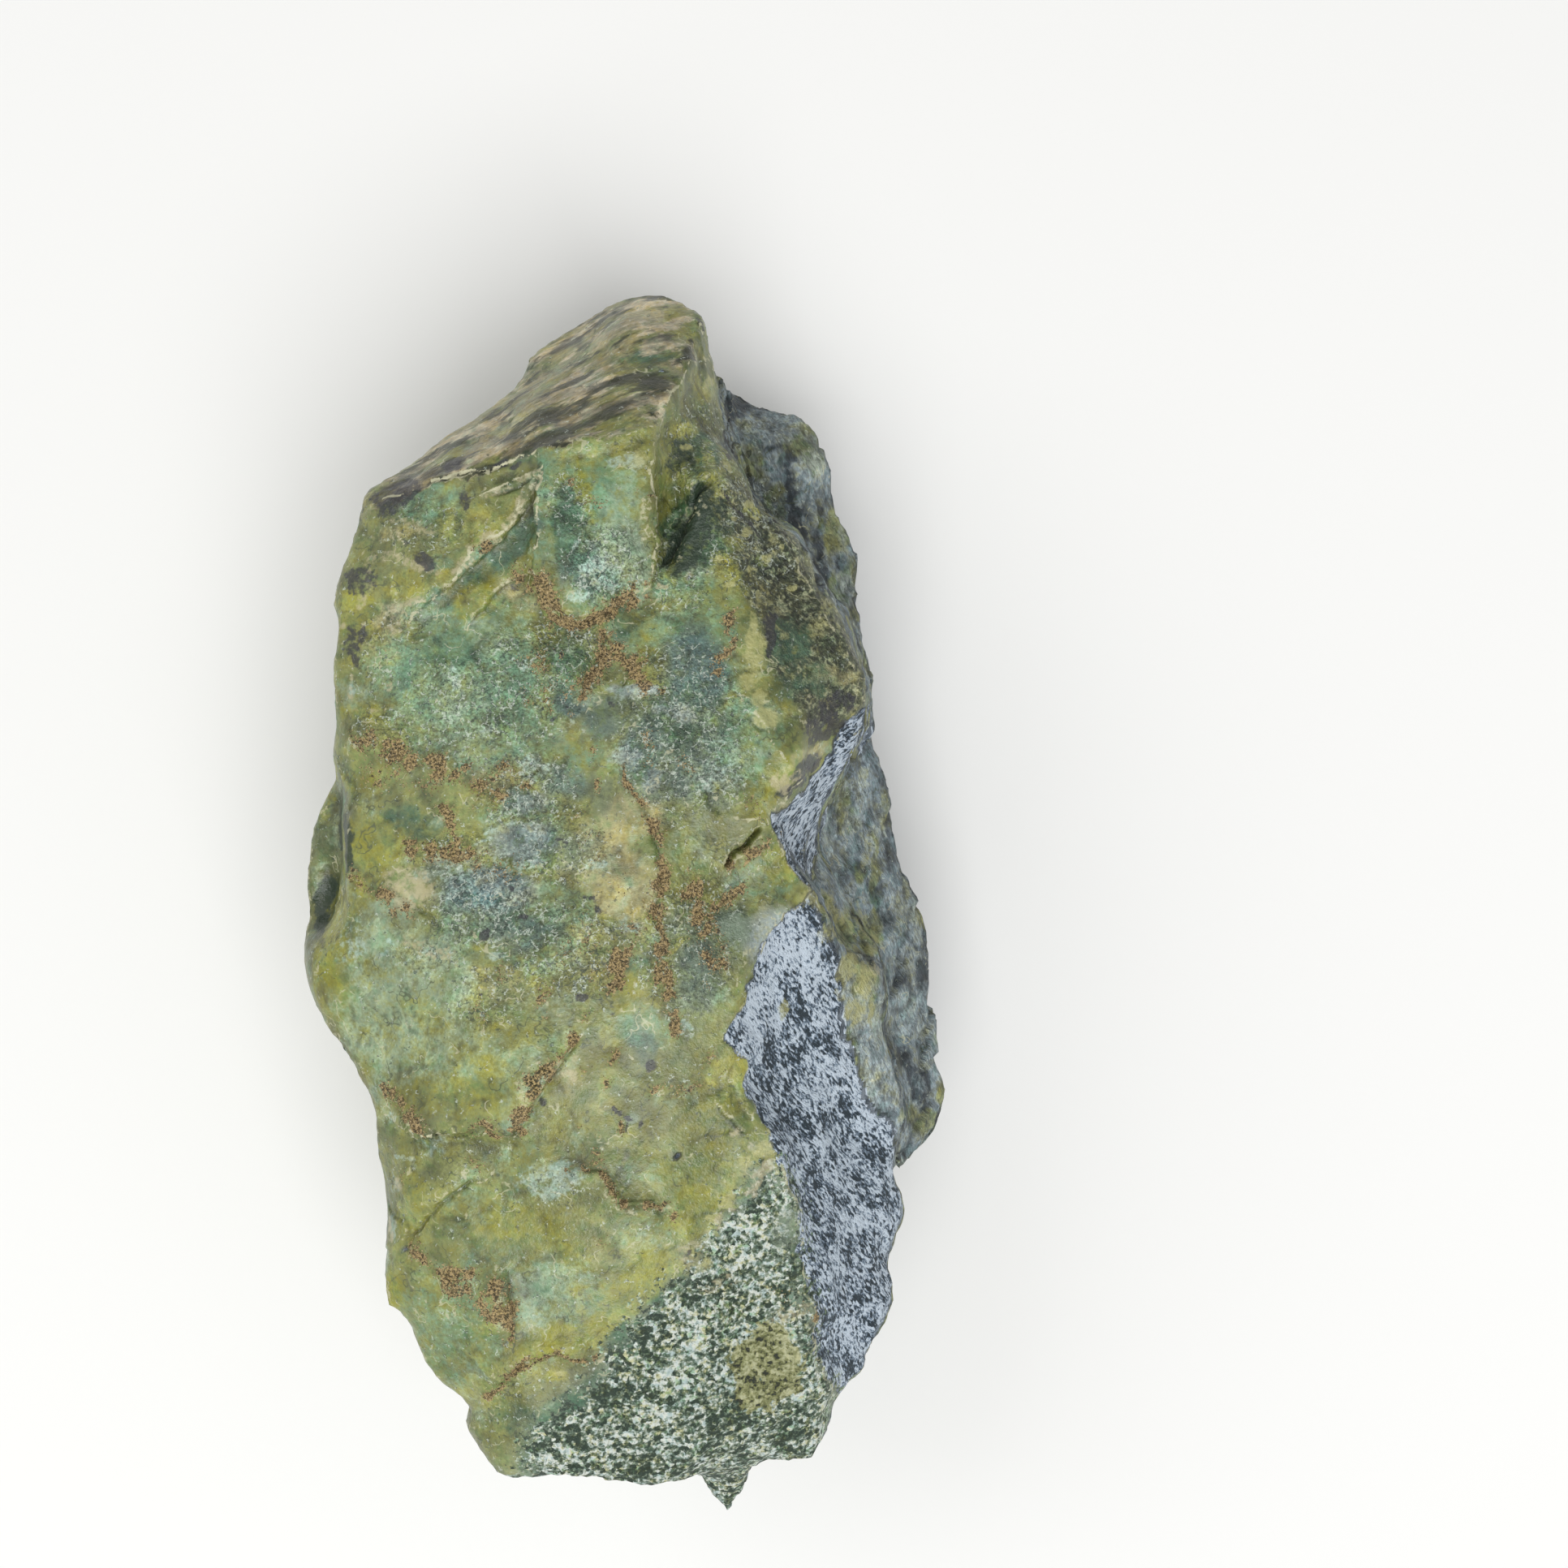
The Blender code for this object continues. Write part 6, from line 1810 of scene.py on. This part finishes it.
        # Pale chips in Hue.GLINT are painted highlights; the others are dark specks.
        for hue, lift, start, end, cover in (
            (Hue.GLINT, 0.07, 0.72, 0.8, 0.5),
            (Hue.GROOVE, -0.12, 0.29, 0.21, 0.65),
        ):
            lifted = self.add(Kind.MULTIPLY_ADD, hackle, lift, chips)
            share = self.add(Kind.RANGE, lifted, start, end, 0.0, cover)
            under = self.add(Kind.MIX, share, under, linear(hue))
        return under

    def line(self, pattern: Socket, level: float, width: tuple[float, float], cover: float) -> Socket:
        """A winding line where a pattern crosses a level.

        Args:
            pattern: The pattern that it winds through.
            level: The value that it follows.
            width: How far from the level the line ends, and where it is full.
            cover: How strong it is at full.

        Returns:
            How strongly the line shows.
        """
        away = self.add(Kind.ABSOLUTE, self.add(Kind.SUBTRACT, pattern, level))
        return self.add(Kind.RANGE, away, *width, 0.0, cover)

    def hairlines(self, place: Socket, under: Socket, clouds: Socket) -> Socket:
        """Broken hairlines, cream where a flake lifts and dark where a crack runs in.

        Args:
            place: Coordinates on the stone.
            under: The colour below.
            clouds: A cloudy pattern.

        Returns:
            The colour with them.
        """
        winding = self.split(self.pattern(place, self.vein, 4.0, "Color"))
        cream = self.line(winding[0], 0.5, (0.006, 0.002), 0.6)
        cream = self.add(Kind.MULTIPLY, cream, self.add(Kind.RANGE, clouds, 0.53, 0.58, 0.0, 1.0))
        dark = self.line(winding[1], 0.47, (0.008, 0.002), 0.7)
        dark = self.add(Kind.MULTIPLY, dark, self.add(Kind.RANGE, clouds, 0.5, 0.44, 0.0, 1.0))
        under = self.add(Kind.MIX, cream, under, linear(Hue.LIP))
        return self.add(Kind.MIX, dark, under, linear(Hue.HAIRLINE))

    def slivered(self, under: Socket, slivers: Socket) -> Socket:
        """Slivers of light and dark on the low lobe and the brow.

        Args:
            under: The colour below.
            slivers: A pattern of slivers along the streaks.

        Returns:
            The colour with them.
        """
        shade = self.add(Kind.RANGE, slivers, 0.34, 0.66, 0.68, 1.36)
        lit = self.add(Kind.SCALE, under, shade)
        drawn_out = self.add(Kind.MULTIPLY_ADD, self.mask("brow"), 0.5, self.mask("lobe"))
        return self.add(Kind.MIX, drawn_out, under, lit)

    def speckled(self, blocks: Socket, fringes: Sequence[Socket]) -> Socket:
        """Pale carbonate blocks in dark green serpentine, tinted sand, green and blue in places.

        Args:
            blocks: A pattern of small blocks.
            fringes: Three fine ragged patterns.

        Returns:
            The colour with them.
        """
        darker = self.add(Kind.MULTIPLY_ADD, self.mask("deep"), -0.1, blocks)
        shifted = self.add(Kind.MULTIPLY_ADD, self.mask("mint"), 0.09, darker)
        colour = self.toned(shifted, ZoneTones.SPECKLE, (0.37, 0.51, 0.67))
        colour = self.tinted(colour, fringes[0], (0.52, 0.6, 0.85), Tint.SAND)
        colour = self.tinted(colour, fringes[1], (0.54, 0.6, 0.8), Tint.LEAF)
        return self.tinted(colour, fringes[0], (0.48, 0.4, 0.9), Tint.SKY)

    def lips(self, under: Socket, ragged: Socket) -> Socket:
        """Thin feathery lips of pale crushed stone.

        Args:
            under: The colour below.
            ragged: A pattern that breaks up the rim.

        Returns:
            The colour with them.
        """
        mask = self.mask("lip")
        reach = self.add(Kind.MULTIPLY_ADD, ragged, 3.0, mask)
        share = self.add(Kind.MULTIPLY, self.add(Kind.RANGE, reach, 2.0, 2.15, 0.0, 0.8), mask)
        return self.add(Kind.MIX, self.add(Kind.MULTIPLY, share, 1.6), under, linear(Hue.LIP))

    def soiled(self, place: Socket, under: Socket) -> Socket:
        """Dry soil: closed in the cracks, in single crumbs beside them.

        Args:
            place: Coordinates on the stone.
            under: The colour below.

        Returns:
            The colour with them.
        """
        crumbs = self.pattern(place, self.crumb, 3.0)
        reach = self.add(Kind.MULTIPLY_ADD, crumbs, 1.6, self.mask("soil"))
        gritty = self.pattern(place, self.soil_grain, 1.0)
        toned = self.toned(gritty, ZoneTones.SOIL, (0.4, 0.5, 0.6))
        return self.add(Kind.MIX, self.add(Kind.RANGE, reach, 1.32, 1.46, 0.0, 0.9), under, toned)

    def roughness(self, clouds: Socket) -> Socket:
        """Waxy on the broad face, dull on the flanks, dry where soil lies.

        Args:
            clouds: A cloudy pattern.

        Returns:
            The roughness.
        """
        lowest, highest = self.waxy_roughness - 0.06, self.waxy_roughness + 0.12
        waxy = self.add(Kind.RANGE, clouds, 0.3, 0.7, lowest, highest)
        dull = {"hackle": 0.5, "fibre": 0.7, "lobe": 0.66, "speckle": 0.7, "soil": 0.95}
        for mask, rough in dull.items():
            waxy = self.add(Kind.BLEND, self.mask(mask), waxy, rough)
        return waxy

    def bump(self, slivers: Socket, blocks: Socket, tooth: Socket, fringe: Socket) -> Socket:
        """A tooth too fine for the mesh: hackly on the broad face, streaked or grainy on the flanks.

        Args:
            slivers: A pattern of slivers along the streaks.
            blocks: A pattern of small blocks.
            tooth: A pattern of fine teeth.
            fringe: A fine ragged pattern.

        Returns:
            The bumped normal.
        """
        rough = self.add(Kind.MULTIPLY_ADD, tooth, 0.5, fringe)
        hackly = self.add(Kind.RANGE, self.mask("hackle"), 0.0, 1.0, 0.25, 1.0)
        height = self.add(Kind.MULTIPLY, rough, hackly)
        patterns = {"fibre": slivers, "lobe": slivers, "speckle": blocks, "grain": blocks}
        for mask, pattern in patterns.items():
            height = self.add(Kind.BLEND, self.mask(mask), height, pattern)
        inputs = {"Strength": 0.95, "Distance": self.bump_height * MM, "Height": height}
        return add_node(self.tree, "ShaderNodeBump", inputs=inputs).outputs["Normal"]


@dataclass(frozen=True)
class SoilFinish:
    """Dry laterite soil: loose brown grains that give back no shine.

    Attributes:
        tints: How many changes from lighter to darker grains there are along a metre.
        roughness: How matte the grains are.
    """

    tints: float = 3600.0
    roughness: float = 0.95

    def material(self) -> bpy.types.Material:
        """Makes the material, with each grain a little lighter or darker than the next.

        Returns:
            The material.
        """
        made = bpy.data.materials.new("dry_soil")
        made.use_nodes = True
        tree = made.node_tree
        tree.nodes.clear()
        place = add_node(tree, "ShaderNodeTexCoord").outputs["Object"]
        inputs = {"Vector": place, "Scale": self.tints, "Detail": 1.0}
        drift = add_node(tree, "ShaderNodeTexNoise", inputs=inputs).outputs["Fac"]
        share = add_node(tree, *Kind.RANGE.value, (drift, 0.36, 0.62)).outputs["Result"]
        tones = (share, linear(Hue.SOIL_DARK), linear(Hue.SOIL_LIGHT))
        colour = add_node(tree, *Kind.MIX.value, tones).outputs[2]
        finish = {"Base Color": colour, "Roughness": self.roughness}
        shader = add_node(tree, "ShaderNodeBsdfPrincipled", inputs=finish)
        add_node(tree, "ShaderNodeOutputMaterial", inputs={"Surface": shader.outputs["BSDF"]})
        return made


@dataclass
class SoilGrains:
    """Loose grains of dry soil caught in the cracks of the skin.

    Attributes:
        density: Grains on a square metre where the soil lies thick.
        grain: Radius of a grain, in metres.
        slightest: The least that a grain is stretched along its three axes.
        stoutest: The most that it is stretched.
        seed: Fixes where the grains fall.
    """

    density: float = 5.2e7
    grain: float = 0.095 * MM
    slightest: tuple[float, float, float] = (0.45, 0.45, 0.4)
    stoutest: tuple[float, float, float] = (1.35, 1.2, 0.9)
    seed: int = 7

    def build(self, skin: bpy.types.Object) -> bpy.types.Object:
        """Makes the grains on the skin, as one plain mesh.

        Args:
            skin: The dressed skin.

        Returns:
            The grains.
        """
        carrier = put_in_scene("soil_in_work", skin.data.copy())
        tree = self.scatter_tree()
        scatter = carrier.modifiers.new("scatter", "NODES")
        scatter.node_group = tree
        sizes = {"Density": self.density, "Grain": self.grain, "Seed": self.seed}
        for item in tree.interface.items_tree:
            if item.name in sizes and item.in_out == "INPUT":
                scatter[item.identifier] = sizes[item.name]
        graph = bpy.context.evaluated_depsgraph_get()
        mesh = bpy.data.meshes.new_from_object(carrier.evaluated_get(graph), depsgraph=graph)
        old = carrier.data
        bpy.data.objects.remove(carrier)
        bpy.data.meshes.remove(old)
        self.keep_in_box(mesh)
        mesh.name = "soil_grains"
        return put_in_scene("soil_grains", mesh)

    def keep_in_box(self, mesh: bpy.types.Mesh) -> None:
        """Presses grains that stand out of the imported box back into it."""
        low, high = (np.array(corner) for corner in CAD_BOX)
        mesh.vertices.foreach_set("co", np.clip(read_points(mesh), low, high).ravel())

    def scatter_tree(self) -> Tree:
        """The tree that scatters the grains where the soil lies.

        Returns:
            The tree, whose sizes are named inputs.
        """
        tree = bpy.data.node_groups.new("scatter_soil", "GeometryNodeTree")
        named = {"Geometry": "Geometry", "Density": "Float", "Grain": "Float", "Seed": "Int"}
        for name, holds in named.items():
            tree.interface.new_socket(name, in_out="INPUT", socket_type=f"NodeSocket{holds}")
        tree.interface.new_socket("Geometry", in_out="OUTPUT", socket_type="NodeSocketGeometry")
        given = add_node(tree, "NodeGroupInput").outputs
        soil = add_node(tree, "GeometryNodeInputNamedAttribute", {"data_type": "FLOAT"}, {"Name": "soil"})
        thick = add_node(tree, *Kind.RANGE.value, (soil.outputs["Attribute"], 0.25, 1.0))
        scaled = (thick.outputs["Result"], given["Density"])
        density = add_node(tree, *Kind.MULTIPLY.value, scaled).outputs[0]
        spots = add_node(
            tree,
            "GeometryNodeDistributePointsOnFaces",
            {"distribute_method": "RANDOM"},
            {"Mesh": given["Geometry"], "Density": density, "Seed": given["Seed"]},
        )
        ball = add_node(
            tree, "GeometryNodeMeshUVSphere", inputs={"Segments": 4, "Rings": 2, "Radius": given["Grain"]}
        )
        turn, size = (
            add_node(
                tree,
                "FunctionNodeRandomValue",
                {"data_type": "FLOAT_VECTOR"},
                {0: least, 1: most, "Seed": given["Seed"]},
            )
            for least, most in (((0.0,) * 3, (FULL_TURN,) * 3), (self.slightest, self.stoutest))
        )
        grains = add_node(
            tree,
            "GeometryNodeInstanceOnPoints",
            inputs={
                "Points": spots.outputs["Points"],
                "Instance": ball.outputs["Mesh"],
                "Rotation": turn.outputs[0],
                "Scale": size.outputs[0],
            },
        )
        scattered = {"Geometry": grains.outputs["Instances"]}
        real = add_node(tree, "GeometryNodeRealizeInstances", inputs=scattered)
        finish = {"Geometry": real.outputs["Geometry"], "Material": SoilFinish().material()}
        done = add_node(tree, "GeometryNodeSetMaterial", inputs=finish)
        add_node(tree, "NodeGroupOutput", inputs={"Geometry": done.outputs["Geometry"]})
        return tree


@dataclass
class Studio:
    """A plain pale floor, soft light and a camera straight above the stone. Sizes are in metres.

    Attributes:
        floor_half: Half the floor's side.
        eye: Where the camera stands.
        lens: Focal length on the standard 36 mm sensor, in millimetres.
        lamps: The soft lights.
        sky_strength: Strength of the even light from all round.
    """

    floor_half: float = 2.0
    eye: tuple[float, float, float] = (SURVEY_POINT[0] * MM, SURVEY_POINT[1] * MM, SURVEY_POINT[2] * MM)
    lens: float = 64.845
    lamps: tuple[Lamp, ...] = (
        ("window_side", 0.8, 8.6, (0.1, -0.45, 0.95)),
        ("room_side", 0.9, 3.0, (-0.8, 0.4, 0.8)),
    )
    sky_strength: float = 0.38

    def build(self) -> bpy.types.Object:
        """Makes the floor, the lights and the camera.

        Returns:
            The floor.
        """
        half = self.floor_half
        mesh = bpy.data.meshes.new("pale_floor")
        corners = [(-half, -half, 0.0), (half, -half, 0.0), (half, half, 0.0), (-half, half, 0.0)]
        mesh.from_pydata(corners, [], [(0, 1, 2, 3)])
        mesh.materials.append(self.floor_material())
        floor = put_in_scene("pale_floor", mesh)
        for lamp in self.lamps:
            self.light(*lamp)
        self.sky()
        lens = bpy.data.cameras.new("straight_down")
        lens.lens = self.lens
        lens.clip_start = 0.01
        camera = put_in_scene("straight_down", lens)
        camera.location = self.eye
        bpy.context.scene.camera = camera
        return floor

    def floor_material(self) -> bpy.types.Material:
        """Matte white board: gives back plain light and a soft contact shadow.

        Returns:
            The material.
        """
        made = bpy.data.materials.new("matte_board")
        made.use_nodes = True
        shader = made.node_tree.nodes["Principled BSDF"]
        shader.inputs["Base Color"].default_value = linear(Hue.BOARD)
        shader.inputs["Roughness"].default_value = 0.9
        return made

    def light(self, name: str, side: float, power: float, place: tuple[float, float, float]) -> None:
        """Adds one square soft light, turned to the middle of the stone.

        Args:
            name: The light's name.
            side: Length of its side, in metres.
            power: Its power, in watts.
            place: Where it stands, in metres.
        """
        lamp = bpy.data.lights.new(name, "AREA")
        lamp.size = side
        lamp.energy = power
        holder = put_in_scene(name, lamp)
        holder.location = place
        holder.rotation_mode = "QUATERNION"
        holder.rotation_quaternion = Vector(place).to_track_quat("Z", "Y")

    def sky(self) -> None:
        """Fills the room with even white light, and keeps the colours as they are mixed."""
        world = bpy.data.worlds.new("white_room")
        world.use_nodes = True
        background = world.node_tree.nodes["Background"]
        background.inputs["Color"].default_value = (1.0, 1.0, 1.0, 1.0)
        background.inputs["Strength"].default_value = self.sky_strength
        bpy.context.scene.world = world
        bpy.context.scene.view_settings.view_transform = "Standard"


def main() -> None:
    """Builds the stone, its soil and the studio, in that order."""
    logging.basicConfig(level=logging.INFO, format="%(name)s: %(message)s", force=True)
    skin = Stone().build()
    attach(skin, "root")
    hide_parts(NODE)
    LOG.info("%s: %d faces", skin.name, len(skin.data.polygons))
    grains = SoilGrains().build(skin)
    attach(grains, "root")
    LOG.info("%s: %d faces", grains.name, len(grains.data.polygons))
    floor = Studio().build()
    LOG.info("%s: floor, lights and camera", floor.name)


if __name__ == "__main__":
    main()
